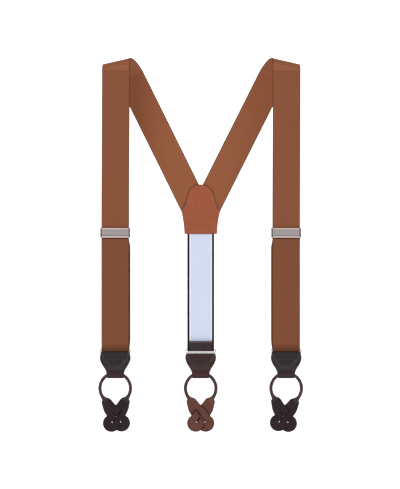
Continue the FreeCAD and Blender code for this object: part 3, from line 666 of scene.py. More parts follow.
def plate_mesh(name, lines, pitch, round_over, front, back, settle, marks=None):
    """A closed plate cut to an outline, lines[0], with openings, the other lines. Its faces
    rise from the cut edge over a small radius. front and back give each face's height from
    the middle for a place and its share of that rise, and settle puts a place and a height
    in the row frame. marks names more numbers to keep for each point."""
    rim = [np.array([tuple(p) for p in line]) for line in lines]
    low, high = rim[0].min(0), rim[0].max(0)
    grid = [
        (x + (pitch / 2 if j % 2 else 0), y)
        for j, y in enumerate(np.arange(low[1], high[1], pitch * 0.87))
        for x in np.arange(low[0], high[0], pitch)
    ]
    fill = np.array(grid)
    fill = fill[inside(fill, rim)]
    fill = fill[gap_to(fill, rim) > round_over + pitch * 0.45]
    rings = []
    for line in rim:
        run = np.roll(line, -1, axis=0) - np.roll(line, 1, axis=0)
        run /= np.maximum(np.sqrt((run**2).sum(1))[:, None], 1e-12)
        side = np.stack([-run[:, 1], run[:, 0]], 1)
        for depth in (0.12, 0.45, 1.0):
            for sign in (1, -1):
                ring = line + side * depth * round_over * sign
                good = inside(ring, rim) & (gap_to(ring, rim) > 0.93 * depth * round_over)
                rings.append(ring[good])
    places = np.concatenate([*rim, *rings, fill])
    edges = []
    start = 0
    for line in rim:
        edges += [(start + i, start + (i + 1) % len(line)) for i in range(len(line))]
        start += len(line)
    cut = delaunay_2d_cdt([Vector(p) for p in places], edges, [], 0, 1e-7)
    spots = np.array([tuple(v) for v in cut[0]])
    faces = list(cut[2])
    centres = np.array([spots[list(f)].mean(0) for f in faces])
    kept = inside(centres, rim)
    faces = [f for f, keep in zip(faces, kept) if keep]
    away = gap_to(spots, rim)
    on_rim = away < 1e-6
    share_up = np.sqrt(np.clip(1 - (1 - np.clip(away / round_over, 0, 1)) ** 2, 0, 1))
    points = []
    back_of = {}
    kept_marks = {"rim": [], **{key: [] for key in marks or {}}}

    def keep_point(i, height, is_back):
        points.append(settle(spots[i][0], spots[i][1], height))
        kept_marks["rim"].append(away[i] / MM)
        for key, mark in (marks or {}).items():
            kept_marks[key].append(mark(spots[i][0], spots[i][1], is_back))
        return len(points) - 1

    used = sorted({i for f in faces for i in f})
    front_of = {}
    for i in used:
        x, y = spots[i]
        if on_rim[i]:
            front_of[i] = back_of[i] = keep_point(i, (front(x, y, 0) + back(x, y, 0)) / 2, False)
        else:
            front_of[i] = keep_point(i, front(x, y, share_up[i]), False)
            back_of[i] = keep_point(i, back(x, y, share_up[i]), True)
    skin = [tuple(front_of[i] for i in f) for f in faces]
    skin += [tuple(back_of[i] for i in reversed(f)) for f in faces]
    return mesh_from(name, points, skin, None, kept_marks)


def tube_mesh(name, centres, section, keys):
    """A closed tube. section gives the ring of points round a centre for its number, each
    with its marks for keys."""
    points, uvs = [], []
    kept_marks = {key: [] for key in keys}
    rings = [section(i) for i in range(len(centres))]
    count = len(rings[0])
    for i, ring in enumerate(rings):
        for j, (point, *values) in enumerate(ring):
            points.append(point)
            uvs.append((j / count * TURN, i))
            for key, value in zip(keys, values):
                kept_marks[key].append(value)
    return mesh_from(name, points, tube_faces(len(rings), count), uvs, kept_marks)


STITCH_RINGS = 7


def stitches_mesh(name, rows, stitch, gap, radius):
    """Thread stitches, each an arch that dives into the leather at both ends. A row is a
    list of points and outward directions along the seam."""
    points, uvs, faces = [], [], []
    sides = 8
    for row in rows:
        spots = [Vector(p) for p, _ in row]
        ways = [Vector(n) for _, n in row]
        reach = [0.0]
        for a, b in zip(spots, spots[1:]):
            reach.append(reach[-1] + (b - a).length)

        def at(distance):
            i = min(max(int(np.searchsorted(reach, distance)) - 1, 0), len(spots) - 2)
            t = (distance - reach[i]) / max(reach[i + 1] - reach[i], 1e-12)
            return spots[i].lerp(spots[i + 1], t), ways[i].lerp(ways[i + 1], t).normalized()

        pitch = stitch + gap
        number = max(1, int((reach[-1] + gap) / pitch))
        start = (reach[-1] - number * pitch + gap) / 2
        for n in range(number):
            first = start + n * pitch
            rings = []
            for step in range(STITCH_RINGS):
                share_along = step / (STITCH_RINGS - 1)
                centre, out = at(first + stitch * share_along)
                ahead, _ = at(first + stitch * share_along + 0.1 * MM)
                behind, _ = at(first + stitch * share_along - 0.1 * MM)
                along = (ahead - behind).normalized()
                across = along.cross(out).normalized()
                arch = math.sin(math.pi * share_along)
                centre = centre + out * (radius * (1.15 * arch**0.6 - 0.55))
                size = radius * (0.55 + 0.45 * arch**0.5)
                rings.append(
                    [
                        centre
                        + across * (size * math.cos(TURN * s / sides))
                        + out * (size * 0.8 * math.sin(TURN * s / sides))
                        for s in range(sides)
                    ]
                )
            faces += tube_faces(len(rings), sides, len(points))
            for i, ring in enumerate(rings):
                points += ring
                reached = i * stitch / (STITCH_RINGS - 1) / MM
                uvs += [(TURN * s / sides, reached) for s in range(sides)]
    return mesh_from(name, points, faces, uvs)


# ---------------------------------------------------------------- the strap's way


class Shoulder:
    """Where the flat strap's places go: up the front, round the tilted fold line over the
    shoulder, and down the back to the yoke. The strap is wrapped and never stretched."""

    def __init__(self, side, settings):
        self.side = side
        self.inward = -side
        self.tilt = settings.fold_tilt
        self.centre_x = BAR["front_right"].x
        self.lean = settings.left_lean if side < 0 else settings.right_lean
        back_sweep = math.pi / 2 - settings.crown_sweep
        self.track = Track(
            (FRONT_Y, 0),
            math.pi / 2,
            (settings.front_bend * math.pi / 2, -settings.front_bend),
            (settings.crown * settings.crown_sweep, -settings.crown),
            (settings.back_bend * back_sweep, -settings.back_bend),
        )
        self.fall = self.track.at(self.track.length)[0].y + self.track.length

    def __call__(self, across, along):
        cos, sin = math.cos(self.tilt), math.sin(self.tilt)
        on_fold = across * cos + along * sin
        round_fold = along * cos - across * sin
        point, out = self.track.at(round_fold)
        fold = Vector((self.inward * cos, 0, sin))
        rise = Vector((-self.inward * sin, 0, cos))
        spot = fold * on_fold + rise * point.y + Vector((self.side * self.centre_x, point.x, 0))
        normal = rise * out.y + Vector((0, out.x, 0))
        near_top = smooth(spot.z, ADJUSTER_Z, 0)
        spot.x += self.inward * self.lean * near_top
        loose = 1 - smooth(-spot.z, 0.12, 0.19)
        spot += normal * ripple((spot.x, 0, along), 28, 0.25 * MM) * loose
        return spot, normal

    def end_at(self, across):
        """How far along a thread of the strap runs before it meets the middle of the back or
        the strap's cut end."""
        cos_two, sin_two = math.cos(2 * self.tilt), math.sin(2 * self.tilt)
        cos, sin = math.cos(self.tilt), math.sin(self.tilt)
        to_middle = self.centre_x - 0.3 * MM
        middle_run = (to_middle - across * cos_two + self.fall * sin) / sin_two
        foot = YOKE_LOW.z + 11.4 * MM
        foot_run = (across * sin_two + self.fall * cos - foot) / cos_two
        return min(middle_run, foot_run)


def lower_strap_track(settings, bar):
    """Down the front, round the ring's bar and back up to the adjuster."""
    bend = bar.y - FRONT_Y
    drop = LAYER_TOP_Z - bar.z
    return Track((FRONT_Y, LAYER_TOP_Z), -math.pi / 2, (drop, 0), (math.pi * bend, bend), (drop, 0))


# ---------------------------------------------------------------- operators for the cloth


def settings_of(context, key):
    return getattr(context.scene, "suspender_" + key)


class BuildShoulderStraps(bpy.types.Operator):
    """Builds each shoulder strap, from the fold above the front down to the yoke"""

    bl_idname = "suspenders.shoulder_straps"
    bl_label = "Shoulder straps"

    def execute(self, context):
        webbing = settings_of(context, "webbing")
        # the shoulder straps get painted light over the fold and down the back
        material = webbing_finish(webbing, "dyed_webbing", 1.0, painted_fold_light=0.2)
        for name, side in SIDES.items():
            way = Shoulder(side, webbing)
            split = -4 * MM
            last = min(way.end_at(a) for a in (-webbing.width / 2, 0, webbing.width / 2)) - 12 * MM
            rows = steps(split, way.track.length + 20 * MM, 1.2 * MM)
            rows += steps(way.track.length + 20 * MM, last, 2.5 * MM)[1:]
            rows += [
                lambda across, t=t: last + t * (way.end_at(across) - last)
                for t in (0.25, 0.5, 0.75, 1)
            ]
            mesh = band_mesh(
                f"shoulder_webbing_{name}", rows, way, webbing.width, webbing.thickness
            )
            piece = new_piece(
                f"shoulder_webbing_{name}",
                mesh,
                material,
                "harness",
                "webbing",
                f"shoulder_strap_{name}",
            )
            size = way.end_at(0) - split

            foot = STRAP_FOOT_Z + 0.2 * MM
            rows = steps(foot, split, 2.2 * MM)
            mesh = band_mesh(f"front_webbing_{name}", rows, way, webbing.width, webbing.thickness)
            piece = new_piece(f"front_webbing_{name}", mesh, material, None, "webbing")
            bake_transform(piece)
        return {"FINISHED"}


class BuildLowerStraps(bpy.types.Operator):
    """Builds each strap's doubled length below the adjuster, and its end sewn round the bar"""

    bl_idname = "suspenders.lower_straps"
    bl_label = "Lower straps"

    def execute(self, context):
        webbing = settings_of(context, "webbing")
        leather = settings_of(context, "leather")
        bar_at = (LAYER_TOP_Z - BAR["front_left"].z) / MM + 3
        # strength 0.85 is painted shade over the whole of the lower straps and tails, and bar_at
        # adds painted shade round the ring's bar
        material = webbing_finish(webbing, "shaded_lower_webbing", 0.85, bar_at=bar_at)
        thread = thread_finish("tan_thread", tuple(leather.tan_thread))
        for name, side in SIDES.items():
            bar = BAR["front_" + name]
            track = lower_strap_track(webbing, bar)
            drop = LAYER_TOP_Z - bar.z

            def place(across, along):
                point, out = track.at(along)
                behind = smooth(along, drop, track.length - drop + 14 * MM)
                settled = smooth(track.length - along, 1.5 * MM, 12 * MM)
                shift = -side * webbing.return_shift * behind * settled
                spot = Vector((side * BAR["front_right"].x + across + shift, point.x, point.y))
                normal = Vector((0, out.x, out.y))
                calm = smooth(abs(along - drop), 8 * MM, 30 * MM) * smooth(along, 0, 20 * MM)
                calm *= smooth(track.length - along, 0, 20 * MM)
                spot.y += ripple((spot.x, side, point.y), 30, 0.2 * MM) * calm
                return spot, normal

            rows = steps(0, drop - 3 * MM, 2.2 * MM)
            rows += steps(drop - 3 * MM, track.length - drop + 3 * MM, 0.6 * MM)[1:]
            rows += steps(track.length - drop + 3 * MM, track.length, 2.2 * MM)[1:]
            mesh = band_mesh(f"lower_webbing_{name}", rows, place, webbing.width, webbing.thickness)
            piece = new_piece(
                f"lower_webbing_{name}",
                mesh,
                material,
                None,
                "webbing",
                f"strap_front_layer_{name}",
                f"strap_return_layer_{name}",
                f"strap_fold_{name}",
            )
            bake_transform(piece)

            low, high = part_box(f"strap_tail_{name}")
            rod = middle(f"adjuster_tail_bar_{name}")
            bend = rod.y - RETURN_Y
            stub = rod.z - low.z
            tail_low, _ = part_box(f"strap_tail_stitching_{name}")
            cut = rod.z - (tail_low.z - 2.4 * MM)
            fold = (math.pi * bend, -bend)
            tail = Track((RETURN_Y, low.z + 0.1 * MM), math.pi / 2, (stub, 0), fold, (cut, 0))

            def place_tail(across, along):
                point, out = tail.at(along)
                return Vector((bar.x + across, point.x, point.y)), Vector((0, out.x, out.y))

            rows = steps(0, stub, 1.6 * MM)
            rows += steps(stub, tail.length - cut, 0.5 * MM)[1:]
            rows += steps(tail.length - cut, tail.length, 1.6 * MM)[1:]
            mesh = band_mesh(
                f"tail_webbing_{name}", rows, place_tail, webbing.width, webbing.thickness
            )
            piece = new_piece(
                f"tail_webbing_{name}",
                mesh,
                material,
                f"adjuster_{name}",
                "webbing",
                f"strap_tail_{name}",
            )

            seam_low, seam_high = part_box(f"strap_tail_stitching_{name}")
            face = rod.y + bend + webbing.thickness / 2
            out = Vector((0, 1, 0))
            rows = []
            for z in (seam_low.z + 0.3 * MM, seam_high.z - 0.3 * MM):
                rows.append(
                    [(Vector((x, face, z)), out) for x in np.linspace(seam_low.x, seam_high.x, 24)]
                )
            mesh = stitches_mesh(f"tail_thread_{name}", rows, 2.2 * MM, 0.7 * MM, 0.28 * MM)
            new_piece(
                f"tail_thread_{name}",
                mesh,
                thread,
                f"adjuster_{name}",
                "tan_thread",
                f"strap_tail_stitching_{name}",
            )
        return {"FINISHED"}


class BuildElastic(bpy.types.Operator):
    """Builds the centre elastic and its hem round the ring's bar"""

    bl_idname = "suspenders.elastic"
    bl_label = "Centre elastic"

    def execute(self, context):
        elastic = settings_of(context, "elastic")
        leather = settings_of(context, "leather")
        pale = elastic_finish(elastic, "pale_elastic", list(elastic.colour), list(elastic.line))
        hem_tone = list(elastic.hem)
        dark = elastic_finish(elastic, "hem_elastic", hem_tone, [c * 1.1 for c in hem_tone])
        bar = BAR["back"]

        def hang(across, along):
            spot = Vector((across, BACK_Y, along))
            below_yoke = smooth(ELASTIC_TOP_Z - along, 10 * MM, 30 * MM)
            calm = below_yoke * smooth(along - HEM_TOP_Z, 0, 0.03)
            spot.y += ripple((across, 0.3, along), 22, 0.25 * MM) * calm
            return spot, Vector((0, 1, 0))

        foot = bar.z + 0.4 * MM
        rows = steps(ELASTIC_TOP_Z, foot, 2.5 * MM)
        mesh = band_mesh("centre_elastic", rows, hang, elastic.width, elastic.thickness)
        piece = new_piece("centre_elastic", mesh, pale, None, "elastic", "back_elastic")
        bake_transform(piece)

        bend = BACK_Y - bar.y
        height = HEM_TOP_Z - bar.z
        track = Track((BACK_Y, bar.z), -math.pi / 2, (math.pi * bend, -bend), (height, 0))

        def fold(across, along):
            point, out = track.at(along)
            return Vector((across, point.x, point.y)), Vector((0, out.x, out.y))

        rows = steps(0, track.length - height, 0.6 * MM)
        rows += steps(track.length - height, track.length, MM)[1:]
        mesh = band_mesh("elastic_hem_fold", rows, fold, elastic.width, elastic.thickness)
        piece = new_piece(
            "elastic_hem_fold", mesh, dark, "elastic_end", "elastic_dark", "elastic_hem"
        )

        seam_low, seam_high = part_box("elastic_hem_stitching")
        face = bar.y - bend - elastic.thickness / 2
        thread = thread_finish("dark_thread", tuple(leather.thread))
        z = (seam_low.z + seam_high.z) / 2
        places = np.linspace(seam_low.x, seam_high.x, 24)
        row = [(Vector((x, face, z)), Vector((0, -1, 0))) for x in places]
        mesh = stitches_mesh("hem_thread", [row], 1.9 * MM, 0.6 * MM, 0.2 * MM)
        new_piece("hem_thread", mesh, thread, "elastic_end", "dark_thread", "elastic_hem_stitching")
        return {"FINISHED"}


# ---------------------------------------------------------------- leather


def mirrored(half):
    """A whole outline from its right half, given from the bottom up, counter-clockwise."""
    return half + [(-x, z) for x, z in reversed(half) if abs(x) > 1e-9]


def yoke_outline():
    """The yoke: a narrow round top, broad shoulders and a foot that tapers in."""
    half_foot = (YOKE_HIGH.x - YOKE_LOW.x) / 2 - 3.8 * MM
    shoulder_z = YOKE_LOW.z + 29 * MM
    half = [
        (half_foot, YOKE_LOW.z),
        (half_foot + 1.2 * MM, YOKE_LOW.z + 14 * MM),
        (YOKE_HIGH.x, shoulder_z),
        (19.2 * MM, shoulder_z + 10 * MM),
        (16.8 * MM, shoulder_z + 19 * MM),
        (13.6 * MM, shoulder_z + 26.6 * MM),
        (8.8 * MM, shoulder_z + 31.6 * MM),
        (3.2 * MM, YOKE_HIGH.z - 0.3 * MM),
    ]
    points = mirrored(half)
    last = len(points) - 1
    corners = (0, 2, last - 2, last)
    return curve_through(points, 0.9 * MM, corners=corners)


def inset_line(line, depth):
    """A closed line moved inward by a depth."""
    points = np.array([tuple(p) for p in line])
    run = np.roll(points, -1, axis=0) - np.roll(points, 1, axis=0)
    run /= np.sqrt((run**2).sum(1))[:, None]
    side = np.stack([-run[:, 1], run[:, 0]], 1)
    moved = points + side * depth
    if not inside(moved, [line]).mean() > 0.5:
        moved = points - side * depth
    return moved[gap_to(moved, [line]) > depth * 0.97]


class BuildYoke(bpy.types.Operator):
    """Builds the two leather patches of the yoke and the thread round them"""

    bl_idname = "suspenders.yoke"
    bl_label = "Yoke"

    def execute(self, context):
        leather = settings_of(context, "leather")
        tone = list(leather.yoke)
        material = leather_finish("tan_leather", tone, [c * 0.3 for c in tone], 0.5, 0.46)
        line = yoke_outline()
        seam = inset_line(line, 2.8 * MM)
        rows = []
        for node, side in (("yoke_inner_patch", -1), ("yoke_outer_patch", 1)):
            low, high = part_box(node)
            thickness = high.y - low.y
            centre = (low.y + high.y) / 2

            def groove(x, z):
                near = gap_to(np.array([(x, z)]), [seam])[0]
                return 0.16 * MM * math.exp(-((near / (0.7 * MM)) ** 2))

            def face(x, z, rise):
                swell = ripple((x, side, z), 60, 0.22 * MM)
                return thickness / 2 * rise + (swell - groove(x, z)) * rise

            def under(x, z, rise):
                return -thickness / 2 * rise

            def settle(x, z, height):
                return Vector((x, centre + side * height, z))

            mesh = plate_mesh(f"{node}_leather", [line], 1.1 * MM, 0.6 * MM, face, under, settle)
            new_piece(f"{node}_leather", mesh, material, "harness", "tan_leather", node)
            out = Vector((0, side, 0))
            surface = centre + side * (thickness / 2 - 0.1 * MM)
            loop = [(Vector((x, surface, z)), out) for x, z in seam]
            rows.append(loop + loop[:1])
        thread = bpy.data.materials["tan_thread"]
        mesh = stitches_mesh("yoke_thread", rows, 1.9 * MM, 0.9 * MM, 0.32 * MM)
        new_piece("yoke_thread", mesh, thread, "harness", "tan_thread", "yoke_stitching")
        return {"FINISHED"}


END_HALF = (
    # half widths and drops below the ring's bar, in millimetres, from the neck's foot up
    (10.3, -36.5),
    (11.0, -33.0),
    (11.5, -29.0),
    (13.3, -24.6),
    (16.6, -19.4),
    (19.0, -14.0),
    (19.5, -9.6),
    (19.0, -6.6),
    (17.4, -5.0),
)


def end_outline(end):
    """A leather end. A front one reaches up to the strap's fold, the back one to its lower bar."""
    half = [(x * MM, z * MM) for x, z in END_HALF]
    if end != "back":
        half[-1] = (17.6 * MM, -2.5 * MM)
    points = mirrored(half)
    last = len(points) - 1
    return curve_through(points, 0.8 * MM, corners=(0, last, 8, last - 8))


def arc_points(centre, radius, start, end, count=40):
    turns = np.linspace(math.radians(start), math.radians(end), count)
    return [(centre[0] + radius * math.cos(t), centre[1] + radius * math.sin(t)) for t in turns]


def ring_line():
    """The wire ring's line below its bar, as it presses through the leather."""
    side = [(-18.6, -1.0), (-17.6, -5.0), (-15.6, -10.0), (-13.0, -14.6)]
    foot = arc_points((0, -11.5), 11.2, 205, 335)
    points = side + foot + [(-x, z) for x, z in reversed(side)]
    return np.array(points) * MM


def away_from(line, x, z):
    a = line[:-1]
    run = line[1:] - a
    off = np.array((x, z)) - a
    t = np.clip((off * run).sum(1) / (run**2).sum(1), 0, 1)
    return float(np.sqrt(((off - t[:, None] * run) ** 2).sum(1)).min())


def end_seam_rows(end):
    """Where the thread runs on a leather end: a half round in front, a narrower trapezium at
    the back."""
    if end == "back":
        flat = [(-9.0, -12.0), (9.0, -12.0)]
        dip = [(9.0, -12.0), (7.6, -14.8), (4.3, -19.4)]
        dip += [(-x, z) for x, z in reversed(dip)]
        return [np.array(flat) * MM, np.array(dip) * MM]
    flat = [(-9.6, -12.5), (9.6, -12.5)]
    dip = arc_points((0, -12.6), 9.5, 180, 360, 30)
    return [np.array(flat) * MM, np.array(dip) * MM]


def end_knot_rows(flat):
    """Short stitches laid side by side where the seam starts and stops."""
    rows = []
    for corner, inward in ((flat[0], 1), (flat[-1], -1)):
        for rise in (0.45, -0.45):
            start = corner + np.array((-0.4 * inward, rise)) * MM
            rows.append(np.array([start, start + np.array((1.7 * inward, 0)) * MM]))
    return rows


class BuildLeatherEnds(bpy.types.Operator):
    """Builds each leather end: face and backing, pressed over the ring and the cord"""

    bl_idname = "suspenders.leather_ends"
    bl_label = "Leather ends"

    def execute(self, context):
        leather = settings_of(context, "leather")
        paint = tuple(leather.paint)
        front = leather_finish(
            "brown_front_leather", list(leather.front), paint, 0.9, 0.36, end_marks=True
        )
        back = leather_finish(
            "brown_back_leather", list(leather.back), paint, 0.8, 0.44, end_marks=True
        )
        thread = bpy.data.materials["dark_thread"]
        wire = ring_line()
        thickness = leather.thickness
        for end in ENDS:
            bar = BAR[end]
            facing = -1 if end == "back" else 1
            cord_drop = bar.z - LOOP[end].z - leather.loop_radius
            seams = end_seam_rows(end)
            knots = end_knot_rows(seams[0])
            line = end_outline(end)

            # mask of the painted highlight along the ring's ridge
            def painted_ridge_highlight(x, z, is_back):
                return math.exp(-((away_from(wire, x, z) / (0.6 * MM)) ** 2))

            # mask of the painted shadow below the ring's ridge
            def painted_ditch_shadow(x, z, is_back):
                past = away_from(wire, x, z * 0.93 - 1.3 * MM) / (0.7 * MM)
                return math.exp(-(past**2)) * smooth(-z, 0.014, 0.019)

            end_marks = {"drop": lambda x, z, is_back: -z / MM, "painted_ridge_highlight": painted_ridge_highlight, "painted_ditch_shadow": painted_ditch_shadow}

            def relief(x, z, is_face):
                neck = math.exp(-(((z + cord_drop + 1.2 * MM) / (3.4 * MM)) ** 4)) * 1.9 * MM
                under = math.exp(-((away_from(wire, x, z) / (1.15 * MM)) ** 2)) * 0.75 * MM
                near = min(away_from(seam, x, z) for seam in seams)
                pulled = math.exp(-((near / (0.8 * MM)) ** 2)) * 0.25 * MM
                inner = smooth(0.0115 - math.hypot(x, z + 0.0125), 0, 0.003) * 0.15 * MM
                bow = ripple((x, 0.2 if is_face else 0.7, z + facing), 90, 0.25 * MM)
                return neck + under * (1.0 if is_face else 0.7) - pulled + inner + bow

            for kind, side in (("face", -1), ("backing", 1)):
                node = f"{end}_leather_{kind}"
                is_face = kind == "face"
                way = side * facing

                def outer(x, z, rise):
                    return (thickness + relief(x, z, is_face)) * rise

                def inner(x, z, rise):
                    return 0.04 * MM

                def settle(x, z, height):
                    return Vector((bar.x + x, bar.y + way * height, bar.z + z))

                name = f"{end}_{kind}_leather"
                mesh = plate_mesh(
                    name, [line], 0.8 * MM, 1.0 * MM, outer, inner, settle, end_marks
                )
                material = back if end == "back" else front
                new_piece(name, mesh, material, f"{end}_end", "brown_leather", node)

            rows = []
            sixths = np.linspace(0, 1, 6, endpoint=False)
            for way in (-1, 1):
                is_face = way * facing < 0

                def on_leather(x, z):
                    height = way * (thickness + relief(x, z, is_face))
                    return Vector((bar.x + x, bar.y + height, bar.z + z)), Vector((0, way, 0))

                for seam in seams + knots:
                    dense = [a + (b - a) * t for a, b in zip(seam, seam[1:]) for t in sixths]
                    rows.append([on_leather(x, z) for x, z in [*dense, seam[-1]]])
            mesh = stitches_mesh(f"{end}_thread", rows, 1.7 * MM, 0.45 * MM, 0.28 * MM)
            body, node = f"{end}_end", f"{end}_stitching"
            new_piece(f"{end}_thread", mesh, thread, body, "dark_thread", node)
        return {"FINISHED"}


# ---------------------------------------------------------------- cord loops and tabs

LOOP_LEAN = {"front_left": -2.0, "front_right": 4.5, "back": 0.0}
LOBE_X = 6.3 * MM
LOBE_Z = -44.0 * MM
LOBE_RADIUS = 11.0 * MM
SLIT_ANGLE = math.atan2(0.79, 0.614)
TAB_STEP = 1.9 * MM
HOLE_RADIUS = 0.7 * MM
HOLE_RISE = 1.8 * MM
SLIT_HALF = 0.15 * MM
# how far from the hole the slit starts to widen, and where it has widened
SLIT_WIDENS, SLIT_WIDE = 7.5 * MM, 10.5 * MM

TAB_SIDE = (
    # the tab that starts on the left, round its upper part, in millimetres
    (12.6, -35.4),
    (6.9, -27.2),
    (-1.3, -19.7),
    (-6.2, -13.6),
    (-10.2, -11.6),
    (-13.8, -13.0),
    (-17.7, -15.6),
    (-17.2, -21.0),
    (-14.8, -29.5),
    (-9.0, -38.2),
    (-5.6, -41.6),
)


def tab_outline(start_side):
    """A button tab: a broad strap from the cord across the middle, and a round lobe. start_side
    is -1 for the tab that starts on the left."""
    strap = [(x * MM, z * MM) for x, z in TAB_SIDE]
    lobe = arc_points((LOBE_X, LOBE_Z), LOBE_RADIUS, 178, 410, 14)
    points = [(-start_side * x, z) for x, z in strap + lobe]
    return curve_through(points, 0.7 * MM)


def keyhole(start_side, half_width, reach):
    """The buttonhole: a round hole in the lobe with a slit up the tab from it."""
    up = Vector((start_side * math.cos(SLIT_ANGLE), math.sin(SLIT_ANGLE)))
    centre = Vector((-start_side * LOBE_X, LOBE_Z)) + up * HOLE_RISE
    side = Vector((-up.y, up.x))
    radius = HOLE_RADIUS
    narrow = min(half_width, SLIT_HALF)

    def half_at(way):
        return narrow + (half_width - narrow) * smooth(way, SLIT_WIDENS, SLIT_WIDE)

    start = math.asin(narrow / radius)
    points = []
    for t in np.linspace(start, TURN - start, 22):
        points.append(centre + up * (radius * math.cos(t)) + side * (radius * math.sin(t)))
    first = math.sqrt(radius**2 - narrow**2)
    ways = np.linspace(first, reach, max(3, int((reach - first) / (0.8 * MM))))
    left = [centre + up * w - side * half_at(w) for w in ways[1:]]
    right = [centre + up * w + side * half_at(w) for w in reversed(ways[1:])]
    cap = [
        centre + up * (reach + half_width * math.cos(t)) + side * (half_width * math.sin(t))
        for t in np.linspace(-math.pi / 2, math.pi / 2, 5)[1:-1]
    ]
    return points + left + cap + right


class BuildTabs(bpy.types.Operator):
    """Builds each pair of button tabs, one passed through the other's slit"""

    bl_idname = "suspenders.tabs"
    bl_label = "Button tabs"

    def execute(self, context):
        leather = settings_of(context, "leather")
        half = leather.tab_thickness / 2
        grain = tab_finish("tab_leather", leather, "flesh")
        for end in ENDS:
            centre = LOOP[end]
            facing = -1 if end == "back" else 1
            lean = Matrix.Rotation(math.radians(LOOP_LEAN[end]), 3, "Y")
            slit_foot = Vector((-LOBE_X, LOBE_Z))
            slit_way = Vector((math.cos(SLIT_ANGLE), math.sin(SLIT_ANGLE)))

            def rise(face_height):
                return lambda x, z, up: face_height * up

            def put(start_side):
                def settle(x, z, height):
                    off = 0.0
                    if start_side < 0:
                        away = (Vector((x, z)) - slit_foot).dot(Vector((slit_way.y, -slit_way.x)))
                        off = TAB_STEP * math.tanh(away / (1.15 * MM))
                        top = smooth(z, -0.030, -0.015)
                        off += 1.6 * MM * top
                    edge = abs(x) / (18 * MM)
                    curl = 1.3 * MM * edge**3 * smooth(z, -0.036, -0.020)
                    wave = ripple((x + centre.x, start_side, z), 55, 0.5 * MM)
                    spot = Vector((x, off + curl + wave - height, z))
                    if facing < 0:
                        spot = Vector((-spot.x, -spot.y, spot.z))
                    return centre + lean @ spot

                return settle

            for kind, start_side, slit_half, reach in (
                ("slotted", 1, 1.05 * MM, 17.7 * MM),
                ("passing", -1, 0.12 * MM, 15.2 * MM),
            ):
                lines = [tab_outline(start_side), keyhole(start_side, slit_half, reach)]
                mesh = plate_mesh(
                    f"{end}_{kind}_tab_leather",
                    lines,
                    0.8 * MM,
                    0.75 * MM,
                    rise(half),
                    rise(-half),
                    put(start_side),
                    {"flesh": lambda x, z, is_back: 1.0 if is_back else 0.0},
                )
                new_piece(
                    f"{end}_{kind}_tab_leather",
                    mesh,
                    grain,
                    f"{end}_loop",
                    "brown_leather",
                    f"{end}_{kind}_tab",
                )
        return {"FINISHED"}


class BuildCords(bpy.types.Operator):
    """Builds each rolled leather cord, flattened at both ends where it becomes a tab"""

    bl_idname = "suspenders.cords"
    bl_label = "Cord loops"

    def execute(self, context):
        leather = settings_of(context, "leather")
        front = cord_finish("front_cord", leather, tuple(leather.front_tabs))
        back = cord_finish("back_cord", leather, tuple(leather.suede))
        radius = leather.cord_radius
        around = leather.loop_radius
        sides = 24
        foot = math.radians(34)
        count = 150
        for end in ENDS:
            centre = LOOP[end]
            lean = Matrix.Rotation(math.radians(LOOP_LEAN[end]), 3, "Y")
            turns = np.linspace(-math.pi / 2 + foot, 1.5 * math.pi - foot, count)
            length_round = around * (turns[-1] - turns[0])

            def section(i):
                turn = turns[i]
                out = Vector((math.cos(turn), 0, math.sin(turn)))
                along = length_round * i / (count - 1)
                to_end = min(along, length_round - along)
                flat = 1 - smooth(to_end, 1 * MM, 10 * MM)
                middle_point = out * around
                twist = along / (11 * MM) * TURN
                ring = []
                for s in range(sides):
                    t = TURN * s / sides
                    phase = (t * 2 - twist) % TURN - math.pi
                    groove = math.exp(-((phase / 0.45) ** 2)) * (1 - flat)
                    size = radius * (1 - 0.13 * groove)
                    wide = size * (1 + 0.75 * flat)
                    thick = size * (1 - 0.52 * flat)
                    point = middle_point + out * (wide * math.cos(t))
                    point.y += thick * math.sin(t)
                    ring.append((centre + lean @ point, groove * 0.85, flat))
                return ring

            mesh = tube_mesh(f"{end}_rolled_cord", turns, section, ("seam", "foot"))
            new_piece(
                f"{end}_rolled_cord",
                mesh,
                back if end == "back" else front,
                f"{end}_loop",
                "brown_leather",
                f"{end}_cord_cover",
                f"{end}_cord_core",
            )
        return {"FINISHED"}


# ---------------------------------------------------------------- metal and stage


class FinishMetal(bpy.types.Operator):
    """Gives the rings and the adjusters their nickel plate"""

    bl_idname = "suspenders.metal"
    bl_label = "Metal parts"

    def execute(self, context):
        metal = settings_of(context, "metal")
        bright = nickel_finish("bright_nickel", list(metal.bright), 0.12, 12.0)
        satin = nickel_finish("satin_nickel", list(metal.satin), 0.30, 20.0)
        lever = nickel_finish("lipped_nickel", list(metal.satin), 0.32, 20.0, lips=True)
        for name, node in frame["nodes"].items():
            if name.endswith("_ring"):
                material = bright
            elif name.startswith("adjuster_lever_"):
                material = lever
            elif name.startswith("adjuster_"):
                material = satin
            else:
                continue
            node.data.materials.clear()
            node.data.materials.append(material)
        return {"FINISHED"}


LIGHTS = (
    # each lamp's name, place, width in metres and power in watts
    ("key_light", (-1.3, -2.4, 1.5), 1.4, 34.0),
    ("fill_light", (1.8, -2.2, 0.5), 1.6, 14.0),
    ("back_light", (0.3, 2.4, 1.6), 1.6, 22.0),
)
WORLD_STRENGTH = 0.55
PAPER_START, PAPER_RUN, PAPER_BEND, PAPER_RISE, PAPER_HALF = -3.2, 6.6, 0.6, 1.8, 3.5


